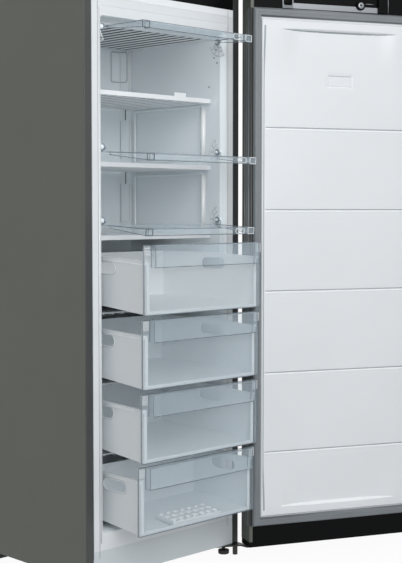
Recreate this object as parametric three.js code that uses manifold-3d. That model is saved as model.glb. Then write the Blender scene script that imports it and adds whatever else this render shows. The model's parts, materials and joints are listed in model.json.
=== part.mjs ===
// Upright freezer with an open door, pulled-out drawers and opened compartment flaps.
// Millimetres. X points right as seen from the front, Y goes into the cabinet and Z up.
// The origin is the centre of the cabinet's underside; the floor lies footHeight below it.
import * as THREE from "three";
import { mergeVertices } from "three/addons/utils/BufferGeometryUtils.js";
import Module from "manifold-3d";

const wasm = await Module();
wasm.setup();

// ---------------------------------------------------------------- driving dimensions

const gap = 0.3; // between pieces that touch
const runningGap = 0.4; // between pieces that slide or turn on each other
const overcut = 1; // how far a cutter runs past the face that it opens

// Cabinet shell. Its front plane is y = 0 in the cabinet group.
const cabinetWidth = 595;
const cabinetHeight = 1703.5;
const cabinetDepth = 520;
const sheet = 1.2;
const cornerRadius = 3;
const frontReturn = 25.2;
const rearReturn = 14;
const lidThickness = 1.5;
const backOverlap = 1.5;
const footHeight = 35;
const panBead = { side: 85, end: 80, width: 8, depth: 0.5 };

// Front frame of the white liner, and the black panel above it.
const frameThickness = 3;
const frameBottom = 79.5;
const controlHeight = 98.5;
const frameTop = cabinetHeight - controlHeight;
const railHeight = 20;
const frameSeam = frameTop - railHeight;
const openingMargin = { side: 57, bottom: 47.5, top: 69 };
const openingHalfWidth = cabinetWidth / 2 - openingMargin.side;
const openingBottom = frameBottom + openingMargin.bottom;
const openingTop = frameTop - openingMargin.top;
const openingRadius = 10;
const groove = { aboveOpening: 22, besideOpening: 2.5, height: 9, depth: 1.4 };
const plinthThickness = 2;
const controlDepth = 40;
const display = { x: 0, width: 120, height: 24, depth: 1.6 };

// Food space inside the liner. It narrows behind the bevel round its mouth.
const linerWall = 2.5;
const spaceRadius = 3;
const bevelDepth = 17;
const bevel = { side: 8.5, bottom: 6, top: 5 };
const spaceHalfWidth = openingHalfWidth - bevel.side;
const spaceBottom = openingBottom + bevel.bottom;
const spaceTop = openingTop - bevel.top;
const backInsulation = 75;
const spaceDepth = cabinetDepth - backInsulation;
const cornerCut = { x: 20, y: 29 };

// The stack of drawers, and the machine bay below the hump behind the lowest one.
const drawerCount = 4;
const drawerPitch = 199;
const lowestDrawer = spaceBottom + 4;
const drawerStackTop = lowestDrawer + drawerCount * drawerPitch;
const humpDepth = 170;
const humpBelowDrawer = 18;
const hump = { front: spaceDepth - humpDepth, top: lowestDrawer + drawerPitch - humpBelowDrawer };
const bayDepth = 185;
const bayInsulation = 56;
const bay = { front: cabinetDepth - bayDepth, top: hump.top - bayInsulation };

// Refrigerated shelves, listed from the top. Height is at the middle of the front trim.
const lowestShelf = drawerStackTop + 4;
const shelfRoom = spaceTop - lowestShelf;
const shelfHeights = [0.6734, 0.34175, 0].map((share) => lowestShelf + share * shelfRoom);
const shelfNames = ["upper", "middle", "lower"];
const shelfBack = spaceDepth - 33;
const shelf = { front: 58.3, back: shelfBack, thickness: 4, ribs: 13, ribWidth: 5, ribDepth: 6 };
const recess = {
  depth: 4,
  front: 88,
  back: spaceDepth - 50,
  ramp: 17,
  aboveShelf: 22,
  height: 0.27 * shelfRoom,
};
const trim = { front: 45, halfWidth: spaceHalfWidth - 6, height: 13, cornerRadius: 6 };
const trimTab = { x: 100, width: 46, height: 11, thickness: 4 };
const ceilingPlate = { ribs: 14, ribDepth: 7 };

// Clear flaps. Each turns on two bosses of the liner.
const flapPin = { y: 15, radius: 4, baseRadius: 7, baseLength: 9, shaftLength: 9 };
const flap = {
  wall: 2.4,
  halfWidth: spaceHalfWidth - 23,
  earThickness: 4,
  earRadius: 9,
  lipHeight: 19.5,
  sideRearHeight: 9,
  shoulder: 14,
  gripInset: 26,
};
const flapPinHeight = { belowCeiling: 23, aboveMiddleShelf: 45, aboveLowerShelf: 48 };
const flapShortfall = { top: 44, middle: 28, lower: 41 };
const flapRise = { hanging: 4, standing: -12 };
const flapDroop = { hanging: 0, standing: 3 };
const [upperShelf, middleShelf] = shelfHeights;
const flaps = [
  {
    name: "top",
    pinZ: spaceTop - flapPinHeight.belowCeiling,
    reach: spaceTop - upperShelf - flapShortfall.top,
    plateRise: flapRise.hanging,
    droopDegrees: flapDroop.hanging,
  },
  {
    name: "middle",
    pinZ: middleShelf + flapPinHeight.aboveMiddleShelf,
    reach: upperShelf - middleShelf - flapShortfall.middle,
    plateRise: flapRise.standing,
    droopDegrees: flapDroop.standing,
  },
  {
    name: "lower",
    pinZ: lowestShelf + flapPinHeight.aboveLowerShelf,
    reach: middleShelf - lowestShelf - flapShortfall.lower,
    plateRise: flapRise.standing,
    droopDegrees: flapDroop.standing,
  },
];

// Drawers, listed from the top. Pull is how far each stands out of its closed place.
const front = {
  closedY: 24,
  halfWidth: spaceHalfWidth - 6,
  height: drawerPitch - 11,
  wall: 3,
  cornerRadius: 5,
};
const pull = { top: 179, upper: 172.5, lower: 168, bottom: 155 };
const behindDrawer = { full: 47, short: 39 };
const slotFromBack = { full: 220, short: 124 };
const runnerOverlap = { full: 38, short: 45 };
const fullDepth = spaceDepth - behindDrawer.full;
const shortDepth = hump.front - behindDrawer.short;
const fullTub = {
  depth: fullDepth,
  rimDrop: 8,
  runnerFront: front.closedY + fullDepth - pull.top - runnerOverlap.full,
  slotBack: fullDepth - slotFromBack.full,
};
const shortTub = {
  depth: shortDepth,
  rimDrop: 0,
  runnerFront: front.closedY + shortDepth - pull.bottom - runnerOverlap.short,
  slotBack: shortDepth - slotFromBack.short,
};
const drawers = [
  { name: "top", pull: pull.top, ...fullTub },
  { name: "upper", pull: pull.upper, ...fullTub },
  { name: "lower", pull: pull.lower, ...fullTub },
  { name: "bottom", pull: pull.bottom, ...shortTub },
];
const grip = { halfWidth: front.halfWidth - 26, reach: 20, height: 61 };
const tub = {
  halfWidth: spaceHalfWidth - 20,
  wall: 2.4,
  rimBelowFront: 34,
  rimWidth: 9,
  rimThickness: 3,
  border: 10,
  bottomRise: 16,
  bottomRiseLength: 180,
};
const slot = { length: 98, height: 33, belowRim: 15 };
const runner = { thickness: 4, bite: 5.5 };
const drawerShelf = { front: 60, back: shelfBack, belowDrawer: 5 };
const iceTray = { x: 8, width: 190, front: 8, depth: 80, height: 14, rows: 3, columns: 7 };
const icePocket = { topRadius: 11, bottomRadius: 7, depth: 10.5 };

// Door, measured in its closed place.
const doorThickness = 65;
const doorBottom = 3.5;
const doorTop = cabinetHeight - 2.5;
const sealGap = 12.3; // between the cabinet's front and the door's inner face
const pivot = { inset: 9, behindInner: 36.6 };
const doorAngle = 155.26;
const capThickness = 16;
const bottomBand = 63.8;
const topBand = doorTop - frameTop;
const lipWidth = 10;
const gasket = {
  outer: 8,
  width: 25,
  bottom: doorBottom + bottomBand + 0.2,
  top: frameTop - 0.2,
  baseHeight: 5,
  noseInset: 3,
};
const gasketHeight = gasket.top - gasket.bottom;
const doorLiner = {
  wall: 2.5,
  borderRise: 6,
  borderWidth: 10,
  panelDrop: 14,
  sideSlope: 4,
  endSlope: 12,
  cornerRadius: 42,
  sill: 4,
  head: 6,
};
const linerLines = [0.7741, 0.616, 0.4586, 0.2992, 0.1434].map(
  (share) => gasket.bottom + share * gasketHeight,
);
const linerLine = { width: 5, depth: 1.2 };
const liftBadge = {
  x: 5.5,
  z: gasket.bottom + 0.8665 * gasketHeight,
  width: 76,
  height: 29,
  rise: 1,
};
const edgeGrip = { width: 14, from: 620, to: 1220, slotDepth: 9, slotWidth: 26 };
const topStrip = { from: 134.8, to: 414.8, bottom: frameTop + 3, height: 16.5, thickness: 2 };
const stripEnd = { width: 35, height: 30, thickness: 3 };
const stripScrew = { from: 355.5, z: topStrip.bottom + 20, radius: 14, socketRadius: 5, height: 5 };
const topBracket = { width: 32, height: 62, thickness: 8 };

// Hinges and feet.
const hinge = { thickness: 4, armRadius: 9, width: 84, front: 14, back: 62 };
const hingePin = { radius: 5, length: 13, boreDepth: 15 };
const hingeCover = { wall: 2.5, height: 13 };
const footPad = { radius: 17, height: 12, stemRadius: 5, x: cabinetWidth / 2 - 32.5, y: 30 };
const rearFoot = { width: 44, depth: 50, x: cabinetWidth / 2 - 47.5, y: cabinetDepth - 32 };
const hingeScrew = { radius: 8, x: cabinetWidth / 2 - 15.5, y: -2, clearance: 0.6 };

// Cooling machine.
const compressor = {
  x: -110,
  y: bay.front + bayDepth / 2,
  radius: 74,
  height: 160,
  flange: 4,
  postX: 84,
  postY: 56,
  postRadius: 8,
  postHeight: 12,
};
const mountPlate = { width: 230, depth: 150, thickness: 3 };
const dryer = { radius: 11, length: 110, x: 100, z: 150 };
const inlet = { x: cabinetWidth / 2 - 82.5, width: 44, height: 36, depth: 26, wall: 4 };
const condenserMargin = { side: 92.5, bottom: 58, top: 223.5 };
const condenser = {
  halfWidth: cabinetWidth / 2 - condenserMargin.side,
  bottom: bay.top + condenserMargin.bottom,
  top: cabinetHeight - condenserMargin.top,
  runs: 10,
  tube: 3,
  wires: 7,
  wire: 2,
  standOff: 18,
};

// ---------------------------------------------------------------- derived values

const halfCabinet = cabinetWidth / 2;
const shellInside = halfCabinet - sheet - gap;
const frameHalfWidth = halfCabinet - frontReturn - gap;
const foamBack = cabinetDepth - sheet - gap;
const frameBack = frameThickness + gap;
const lidTop = cabinetHeight + gap + lidThickness;
const backFace = cabinetDepth + gap + backOverlap;
const doorInner = -sealGap;
const doorOuter = doorInner - doorThickness;
const pivotX = halfCabinet - pivot.inset;
const pivotY = doorInner - pivot.behindInner;
const drawerBottom = (index) => lowestDrawer + (drawerCount - 1 - index) * drawerPitch;
const rimHeight = front.height - tub.rimBelowFront;

// ---------------------------------------------------------------- materials

const paint = (color, roughness, metalness, opacity = 1) =>
  new THREE.MeshStandardMaterial({ color, roughness, metalness, opacity, transparent: opacity < 1 });
const materials = {
  oliveSteel: paint(0x595d55, 0.45, 0.4),
  whiteSteel: paint(0xc4c8ca, 0.5, 0.1),
  galvanised: paint(0x9aa0a3, 0.45, 0.8),
  whitePlastic: paint(0xe4e9ec, 0.35, 0),
  clearPlastic: paint(0xdfe8ee, 0.08, 0, 0.35),
  blackPlastic: paint(0x171918, 0.35, 0),
  greyRubber: paint(0x7c8185, 0.7, 0),
  blackRubber: paint(0x151515, 0.8, 0),
  foam: paint(0xd9c99a, 0.9, 0),
  darkPaint: paint(0x1b1c1d, 0.5, 0.3),
  copper: paint(0xb87347, 0.35, 0.9),
  steel: paint(0xb9bdc0, 0.3, 0.9),
  displayGlass: paint(0x0b0d10, 0.1, 0),
};

// ---------------------------------------------------------------- solids from three.js shapes

function solid(geometry) {
  const bare = geometry.clone();
  bare.deleteAttribute("normal");
  bare.deleteAttribute("uv");
  const merged = mergeVertices(bare, 1e-4);
  return new wasm.Manifold(
    new wasm.Mesh({
      numProp: 3,
      vertProperties: new Float32Array(merged.attributes.position.array),
      triVerts: new Uint32Array(merged.index.array),
    }),
  );
}

function box([x0, x1], [y0, y1], [z0, z1]) {
  const geometry = new THREE.BoxGeometry(x1 - x0, y1 - y0, z1 - z0);
  return solid(geometry.translate((x0 + x1) / 2, (y0 + y1) / 2, (z0 + z1) / 2));
}

// The outline's two coordinates are (Y, Z) for axis x, (X, Z) for y and (X, Y) for z.
const axisFrames = {
  x: [new THREE.Vector3(0, 1, 0), new THREE.Vector3(0, 0, 1), new THREE.Vector3(1, 0, 0)],
  y: [new THREE.Vector3(1, 0, 0), new THREE.Vector3(0, 0, 1), new THREE.Vector3(0, -1, 0)],
  z: [new THREE.Vector3(1, 0, 0), new THREE.Vector3(0, 1, 0), new THREE.Vector3(0, 0, 1)],
};

function prism(axis, outline, from, to) {
  const shape = new THREE.Shape(outline.map(([u, v]) => new THREE.Vector2(u, v)));
  const geometry = new THREE.ExtrudeGeometry(shape, { depth: to - from, bevelEnabled: false });
  geometry.applyMatrix4(new THREE.Matrix4().makeBasis(...axisFrames[axis]));
  const start = axis === "y" ? to : from;
  geometry.translate(axis === "x" ? start : 0, axis === "y" ? start : 0, axis === "z" ? start : 0);
  return solid(geometry);
}

function arc(u, v, radius, startDegrees, endDegrees, steps) {
  return Array.from({ length: steps + 1 }, (_, i) => {
    const angle = THREE.MathUtils.degToRad(startDegrees + ((endDegrees - startDegrees) * i) / steps);
    return [u + radius * Math.cos(angle), v + radius * Math.sin(angle)];
  });
}

function disc(u, v, radius, sides = 16) {
  return arc(u, v, radius, 0, 360 - 360 / sides, sides - 1);
}

function roundedRect([u0, u1], [v0, v1], radius, steps = 3) {
  return [
    ...arc(u1 - radius, v1 - radius, radius, 0, 90, steps),
    ...arc(u0 + radius, v1 - radius, radius, 90, 180, steps),
    ...arc(u0 + radius, v0 + radius, radius, 180, 270, steps),
    ...arc(u1 - radius, v0 + radius, radius, 270, 360, steps),
  ];
}

// A block between two convex outlines in X and Z, the first at y0 and the second at y1.
function loft(y0, outline0, y1, outline1) {
  const count = outline0.length;
  const corners = [
    ...outline0.map(([x, z]) => [x, y0, z]),
    ...outline1.map(([x, z]) => [x, y1, z]),
  ];
  const faces = [];
  for (let i = 0; i < count; i++) {
    const next = (i + 1) % count;
    faces.push(i, count + i, count + next, i, count + next, next);
    if (i > 0 && next > 0) faces.push(0, i, next, count, count + next, count + i);
  }
  const geometry = new THREE.BufferGeometry();
  geometry.setAttribute("position", new THREE.Float32BufferAttribute(corners.flat(), 3));
  geometry.setIndex(faces);
  return solid(geometry);
}

function turned(profile, x, y, z, sides = 24) {
  const geometry = new THREE.LatheGeometry(
    profile.map(([radius, height]) => new THREE.Vector2(radius, height)),
    sides,
  );
  return solid(geometry.rotateX(Math.PI / 2).translate(x, y, z));
}

const joined = (parts) => parts.reduce((sum, part) => sum.add(part));
const both = (make) => joined([make(-1), make(1)]);
const span = (centre, width) => [centre - width / 2, centre + width / 2];
const across = (halfWidth) => [-halfWidth, halfWidth];
const sided = (side, near, far) => (side < 0 ? [-far, -near] : [near, far]);

function piece(name, shape, material) {
  const { vertProperties, triVerts } = shape.getMesh();
  const geometry = new THREE.BufferGeometry();
  geometry.setAttribute("position", new THREE.BufferAttribute(vertProperties, 3));
  geometry.setIndex(new THREE.BufferAttribute(triVerts, 1));
  geometry.computeVertexNormals();
  const mesh = new THREE.Mesh(geometry, material);
  mesh.name = name;
  return mesh;
}

// ---------------------------------------------------------------- cabinet shell

function sidePanel(side) {
  const edge = -halfCabinet;
  const inner = cornerRadius - sheet;
  const centre = edge + cornerRadius;
  const outline = [
    [edge + frontReturn, 0],
    ...arc(centre, cornerRadius, cornerRadius, 270, 180, 4),
    [edge, cabinetDepth],
    [edge + rearReturn, cabinetDepth],
    [edge + rearReturn, cabinetDepth - sheet],
    [edge + sheet, cabinetDepth - sheet],
    ...arc(centre, cornerRadius, inner, 180, 270, 4),
    [edge + frontReturn, sheet],
  ].map(([x, y]) => [side < 0 ? x : -x, y]);
  return prism("z", outline, 0, cabinetHeight);
}

function lid() {
  const base = cabinetHeight + gap;
  return prism("z", roundedRect(across(halfCabinet), [0, backFace], cornerRadius), base, lidTop);
}

function backPanel() {
  return box(across(halfCabinet), [cabinetDepth + gap, backFace], [bay.top, cabinetHeight]);
}

function basePan() {
  const plate = box(across(shellInside), [plinthThickness + gap, foamBack], [0, sheet]);
  const rail = (side) =>
    box(sided(side, shellInside - sheet, shellInside), [bay.front + gap, foamBack], [0, 40]);
  const pressing = (inset) =>
    box(
      across(shellInside - panBead.side - inset),
      [panBead.end + inset, cabinetDepth - panBead.end - inset],
      [-overcut, panBead.depth],
    );
  const bead = pressing(0).subtract(pressing(panBead.width));
  return plate.add(both(rail)).subtract(bead);
}

const plinthPanel = () => box(across(frameHalfWidth), [0, plinthThickness], [0, frameBottom - gap]);

// ---------------------------------------------------------------- liner and insulation

// The food space, grown by skin on every side but the front.
function foodSpace(skin) {
  const half = spaceHalfWidth + skin;
  const back = spaceDepth + skin;
  const plan = [
    [-half, 0],
    [half, 0],
    [half, spaceDepth - cornerCut.y],
    [half - cornerCut.x, back],
    [cornerCut.x - half, back],
    [-half, spaceDepth - cornerCut.y],
  ];
  const low = spaceBottom - skin;
  const high = spaceTop + skin;
  const mouth = roundedRect(
    across(openingHalfWidth + skin),
    [openingBottom - skin, openingTop + skin],
    openingRadius + skin,
  );
  const sunk = half + recess.depth;
  const ramps = [recess.front - recess.ramp - skin, recess.back + recess.ramp + skin];
  const recessPlan = [
    [-half, ramps[0]],
    [half, ramps[0]],
    [sunk, recess.front - skin],
    [sunk, recess.back + skin],
    [half, ramps[1]],
    [-half, ramps[1]],
    [-sunk, recess.back + skin],
    [-sunk, recess.front - skin],
  ];
  const wallRecess = (shelfZ) => {
    const low = shelfZ + recess.aboveShelf;
    return prism("z", recessPlan, low - skin, low + recess.height + skin);
  };
  const humpBlock = box(
    across(half + overcut),
    [hump.front + skin, back + overcut],
    [low - overcut, hump.top - skin],
  );
  return joined([
    prism("z", plan, low, high),
    loft(0, mouth, bevelDepth, roundedRect(across(half), [low, high], spaceRadius + skin)),
    ...shelfHeights.map(wallRecess),
  ]).subtract(humpBlock);
}

function runnerLedge(side, index) {
  const { depth, runnerFront } = drawers[index];
  const top = drawerBottom(index) + rimHeight - tub.rimThickness - runningGap;
  const tip = tub.halfWidth + runningGap + tub.rimWidth - runner.bite;
  return box(
    sided(side, tip, spaceHalfWidth + linerWall / 2),
    [runnerFront, Math.min(front.closedY + depth, spaceDepth - cornerCut.y)],
    [top - runner.thickness, top],
  );
}

const flapBossBase = spaceHalfWidth - flapPin.baseLength;
const flapBossTip = flapBossBase - flapPin.shaftLength;

function flapBoss(side, pinZ) {
  const collar = disc(flapPin.y, pinZ, flapPin.baseRadius);
  const pin = disc(flapPin.y, pinZ, flapPin.radius);
  return prism("x", collar, ...sided(side, flapBossBase, spaceHalfWidth + linerWall / 2)).add(
    prism("x", pin, ...sided(side, flapBossTip, flapBossBase + overcut)),
  );
}

function innerLiner() {
  const frame = box(
    across(frameHalfWidth),
    [0, frameThickness],
    [frameBottom, frameSeam - gap],
  );
  const opening = foodSpace(0).add(
    box(across(openingHalfWidth), [-overcut, 0], [openingBottom, openingTop]),
  );
  const grooveCut = prism(
    "y",
    roundedRect(
      across(openingHalfWidth + groove.besideOpening),
      span(openingTop + groove.aboveOpening, groove.height),
      groove.height / 2.001,
    ),
    -overcut,
    groove.depth,
  );
  const ledges = drawers.map((_, index) => both((side) => runnerLedge(side, index)));
  const bosses = flaps.map(({ pinZ }) => both((side) => flapBoss(side, pinZ)));
  const shell = foodSpace(linerWall).add(frame).subtract(opening).subtract(grooveCut);
  return joined([shell, ...ledges, ...bosses]);
}

function cabinetInsulation() {
  const block = box(across(shellInside), [frameBack, foamBack], [sheet + gap, cabinetHeight]);
  const machineBay = box(
    across(shellInside + overcut),
    [bay.front, foamBack + overcut],
    [-overcut, bay.top],
  );
  const controlPocket = box(
    across(frameHalfWidth + gap),
    [-overcut, controlDepth + gap],
    [frameTop - gap, cabinetHeight + overcut],
  );
  return block.subtract(foodSpace(linerWall + gap)).subtract(machineBay).subtract(controlPocket);
}

// ---------------------------------------------------------------- control panel

const controlMiddle = (frameTop + cabinetHeight) / 2;

function controlPanel() {
  const body = box(across(frameHalfWidth), [0, controlDepth], [frameTop + gap, cabinetHeight]);
  const window = box(
    span(display.x, display.width + 2 * gap),
    [-overcut, display.depth + gap],
    span(controlMiddle, display.height + 2 * gap),
  );
  return body.subtract(window);
}

const controlDisplay = () =>
  box(span(display.x, display.width), [0, display.depth], span(controlMiddle, display.height));

// ---------------------------------------------------------------- shelves

function ribbedPlate([y0, y1], top, ribCount, ribDepth) {
  const half = spaceHalfWidth - gap;
  const plate = box(across(half), [y0, y1], [top - shelf.thickness, top]);
  const pitch = (2 * half) / ribCount;
  const ribs = Array.from({ length: ribCount }, (_, i) =>
    box(
      span(-half + pitch * (i + 0.5), shelf.ribWidth),
      [y0 + shelf.ribWidth, y1],
      [top - shelf.thickness - ribDepth, top - shelf.thickness / 2],
    ),
  );
  return joined([plate, ...ribs]);
}

const shelfPlate = (z) =>
  ribbedPlate([shelf.front, shelf.back], z + trim.height / 2 - 2, shelf.ribs, shelf.ribDepth);

const ceilingEvaporator = () =>
  ribbedPlate([shelf.front, shelf.back], spaceTop - gap, ceilingPlate.ribs, ceilingPlate.ribDepth);

function shelfTrim(z, withTab) {
  const back = shelf.front - gap;
  const plan = roundedRect(across(trim.halfWidth), [trim.front, back], trim.cornerRadius);
  const bar = prism("z", plan, z - trim.height / 2, z + trim.height / 2);
  if (!withTab) return bar;
  const top = z + trim.height / 2;
  return bar.add(
    box(
      span(trimTab.x, trimTab.width),
      [trim.front + 2, trim.front + 2 + trimTab.thickness],
      [top - overcut, top + trimTab.height],
    ),
  );
}

const drawerShelfPlate = (index) =>
  ribbedPlate(
    [drawerShelf.front, drawerShelf.back],
    drawerBottom(index) - drawerShelf.belowDrawer,
    shelf.ribs,
    shelf.ribDepth - 2,
  );

// ---------------------------------------------------------------- flaps

// A flap in its own frame: its pins lie on the X axis and it reaches towards -Y.
function flapShape({ reach, plateRise }) {
  const earOuter = flapBossBase - runningGap;
  const earInner = earOuter - flap.earThickness;
  const under = plateRise - flap.wall;
  const overlap = plateRise - flap.wall / 2;
  const low = plateRise - flap.lipHeight;
  const rear = -(flapPin.radius + 2 * runningGap);
  const plate = box(across(flap.halfWidth), [-reach, rear], [under, plateRise]);
  const shoulder = box(across(earOuter), [-flap.shoulder, rear], [under, plateRise]);
  const lip = box(across(flap.halfWidth), [-reach, flap.wall - reach], [low, plateRise]);
  const sideOutline = [
    [-reach, overlap],
    [-reach, low],
    [-flap.shoulder, plateRise - flap.sideRearHeight],
    [-flap.shoulder, overlap],
  ];
  const sideWall = (side) =>
    prism("x", sideOutline, ...sided(side, flap.halfWidth - flap.wall, flap.halfWidth));
  const gripAt = flap.halfWidth - flap.gripInset;
  const gripRib = (side) =>
    box(sided(side, gripAt, gripAt + flap.wall), [-reach, flap.lipHeight - reach], [low, overlap]);
  const ear = (side) => {
    const width = sided(side, earInner, earOuter);
    const stemHeights = [Math.min(0, under), Math.max(0, plateRise)];
    const eye = prism("x", disc(0, 0, flap.earRadius), ...width);
    return eye.add(box(width, [-flap.shoulder, flap.earRadius / 2], stemHeights));
  };
  const pinRoom = (side) =>
    prism(
      "x",
      disc(0, 0, flapPin.radius + runningGap),
      ...sided(side, flapBossTip - runningGap, earOuter + overcut),
    );
  return joined([plate, shoulder, lip, both(sideWall), both(gripRib), both(ear)]).subtract(
    both(pinRoom),
  );
}

function flapPiece(size) {
  const mesh = piece(`flap_${size.name}`, flapShape(size), materials.clearPlastic);
  mesh.position.set(0, flapPin.y, size.pinZ);
  mesh.rotation.x = THREE.MathUtils.degToRad(size.droopDegrees);
  return mesh;
}

// ---------------------------------------------------------------- drawers

// Both pieces of a drawer are drawn with its lower front edge at y = 0 and z = 0.
function drawerFront() {
  const panelTop = front.height;
  const panel = prism(
    "y",
    roundedRect(across(front.halfWidth), [0, panelTop], front.cornerRadius),
    0,
    front.wall,
  );
  const shelfOfGrip = box(
    across(grip.halfWidth),
    [-grip.reach, front.wall / 2],
    [panelTop - front.wall, panelTop],
  );
  const lip = box(
    across(grip.halfWidth),
    [-grip.reach, front.wall - grip.reach],
    [panelTop - grip.height, panelTop],
  );
  const cheek = (side) =>
    box(
      sided(side, grip.halfWidth - front.wall, grip.halfWidth),
      [-grip.reach, front.wall / 2],
      [panelTop - grip.height, panelTop],
    );
  return joined([panel, shelfOfGrip, lip, both(cheek)]);
}

function drawerTub({ depth, rimDrop, slotBack }) {
  const y0 = front.wall + gap;
  const low = 1;
  const dropEnd = tub.bottomRiseLength;
  const sideOutline = (inset) => [
    [y0 + (inset ? -overcut : 0), low + inset],
    [dropEnd, low + tub.bottomRise + inset],
    [depth - inset, low + tub.bottomRise + inset],
    [depth - inset, rimHeight + (inset ? overcut : 0)],
    [dropEnd, rimHeight + (inset ? overcut : 0)],
    [y0 + (inset ? -overcut : 0), rimHeight - rimDrop + (inset ? overcut : 0)],
  ];
  const outer = prism("x", sideOutline(0), ...across(tub.halfWidth));
  const inner = prism("x", sideOutline(tub.wall), ...across(tub.halfWidth - tub.wall));
  const mouth = across(tub.halfWidth - tub.border);
  const frontRing = box(across(tub.halfWidth - tub.wall), [y0, y0 + tub.wall], [low, rimHeight - rimDrop])
    .subtract(box(mouth, [0, y0 + 2 * tub.wall], [low + tub.border, rimHeight + overcut]));
  const rimOutline = [
    [y0, rimHeight - rimDrop - tub.rimThickness],
    [dropEnd, rimHeight - tub.rimThickness],
    [depth, rimHeight - tub.rimThickness],
    [depth, rimHeight],
    [dropEnd, rimHeight],
    [y0, rimHeight - rimDrop],
  ];
  const rim = (side) =>
    prism("x", rimOutline, ...sided(side, tub.halfWidth - tub.wall, tub.halfWidth + tub.rimWidth));
  const slotTop = rimHeight - slot.belowRim;
  const slotCut = prism(
    "x",
    roundedRect(span(slotBack, slot.length), [slotTop - slot.height, slotTop], slot.height / 2.001, 4),
    ...across(tub.halfWidth + overcut),
  );
  return joined([outer.subtract(inner), frontRing, both(rim)]).subtract(slotCut);
}

// The ice tray stands on the bottom drawer's sloping floor, drawn in the drawer's own frame.
const floorSlope = Math.atan2(tub.bottomRise, tub.bottomRiseLength - front.wall - gap);

function iceTrayShape() {
  const block = prism(
    "z",
    roundedRect(span(0, iceTray.width), [0, iceTray.depth], 8),
    0,
    iceTray.height,
  );
  const pitchX = iceTray.width / iceTray.columns;
  const pitchY = iceTray.depth / iceTray.rows;
  const pockets = Array.from({ length: iceTray.rows * iceTray.columns }, (_, i) => {
    const x = pitchX * ((i % iceTray.columns) + 0.5) - iceTray.width / 2;
    const y = pitchY * (Math.floor(i / iceTray.columns) + 0.5);
    const low = iceTray.height - icePocket.depth;
    return turned(
      [
        [0, 0],
        [icePocket.bottomRadius, 0],
        [icePocket.topRadius, icePocket.depth + overcut],
        [0, icePocket.depth + overcut],
      ],
      x,
      y,
      low,
      10,
    );
  });
  return block.subtract(joined(pockets));
}

function drawerGroup(index) {
  const drawer = drawers[index];
  const group = new THREE.Group();
  group.position.set(0, front.closedY - drawer.pull, drawerBottom(index));
  group.add(
    piece(`drawer_tub_${drawer.name}`, drawerTub(drawer), materials.whitePlastic),
    piece(`drawer_front_${drawer.name}`, drawerFront(), materials.clearPlastic),
  );
  if (index === drawers.length - 1) {
    const tray = piece("ice_tray", iceTrayShape(), materials.whitePlastic);
    const floor = 1 + tub.wall + gap + Math.tan(floorSlope) * (iceTray.front - front.wall);
    tray.position.set(iceTray.x, iceTray.front, floor + gap);
    tray.rotation.x = floorSlope;
    group.add(tray);
  }
  return group;
}

// ---------------------------------------------------------------- door, in its closed place

const capLow = doorBottom + capThickness;
const capHigh = doorTop - capThickness;
const latchEdge = -halfCabinet + edgeGrip.width;
const linerPlate = {
  x: [latchEdge + gap, halfCabinet - lipWidth - gap],
  z: [doorBottom + bottomBand, doorTop - topBand],
};
const borderHalf = halfCabinet - gasket.outer - gasket.width - gap;
const border = [gasket.bottom + gasket.width + doorLiner.sill, gasket.top - gasket.width - doorLiner.head];
const panelFace = doorInner - doorLiner.panelDrop;
const panelHalf = borderHalf - doorLiner.borderWidth - doorLiner.sideSlope;
const fromHinge = (distance) => halfCabinet - distance;

function doorSkin() {
  const outline = [
    [latchEdge + gap, doorOuter],
    [halfCabinet, doorOuter],
    [halfCabinet, doorInner],
    [halfCabinet - lipWidth, doorInner],
    [halfCabinet - lipWidth, doorInner - sheet],
    [halfCabinet - sheet, doorInner - sheet],
    [halfCabinet - sheet, doorOuter + sheet],
    [latchEdge + gap, doorOuter + sheet],
  ];
  return prism("z", outline, capLow + gap, capHigh - gap);
}

function doorEdgeGrip() {
  const outline = roundedRect([-halfCabinet, latchEdge], [doorOuter, doorInner], cornerRadius);
  const hollow = box(
    [-halfCabinet - overcut, edgeGrip.slotDepth - halfCabinet],
    span((doorOuter + doorInner) / 2, edgeGrip.slotWidth),
    [edgeGrip.from, edgeGrip.to],
  );
  return prism("z", outline, capLow + gap, capHigh - gap).subtract(hollow);
}

// A cap fills one end of the door. Its skirt runs over the end of the door's inner face.
function doorCap(ends, skirtEnds, boreEnds) {
  const outline = roundedRect(across(halfCabinet), [doorOuter, doorInner], cornerRadius);
  const skirt = box(linerPlate.x, [doorInner - doorLiner.wall, doorInner], skirtEnds);
  const bore = prism("z", disc(pivotX, pivotY, hingePin.radius + runningGap), ...boreEnds);
  return prism("z", outline, ...ends).add(skirt).subtract(bore);
}

const bottomCap = () =>
  doorCap(
    [doorBottom, capLow],
    [doorBottom, doorBottom + bottomBand - gap],
    [doorBottom - overcut, doorBottom + hingePin.boreDepth],
  );

const topCap = () =>
  doorCap(
    [capHigh, doorTop],
    [doorTop - topBand + gap, doorTop],
    [doorTop - hingePin.boreDepth, doorTop + overcut],
  );

// The room in front of the door's sunk panel, grown by skin.
function sunkPanel(skin) {
  const half = borderHalf - doorLiner.borderWidth + skin;
  const ends = [border[0] + doorLiner.borderWidth - skin, border[1] - doorLiner.borderWidth + skin];
  const floorHalf = half - doorLiner.sideSlope;
  const floorEnds = [ends[0] + doorLiner.endSlope, ends[1] - doorLiner.endSlope];
  const radius = doorLiner.cornerRadius + skin;
  return loft(
    panelFace - skin,
    roundedRect(across(floorHalf), floorEnds, radius, 5),
    doorInner + doorLiner.borderRise + overcut,
    roundedRect(across(half), ends, radius, 5),
  );
}

// All that lies behind the liner's face, with the face moved back by skin.
function behindLiner(skin, widths, heights, back) {
  const plate = box(widths, [back, doorInner - skin], heights);
  const rim = box(
    across(borderHalf - skin),
    [back, doorInner + doorLiner.borderRise - skin],
    [border[0] + skin, border[1] - skin],
  );
  return plate.add(rim).subtract(sunkPanel(skin));
}

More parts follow.
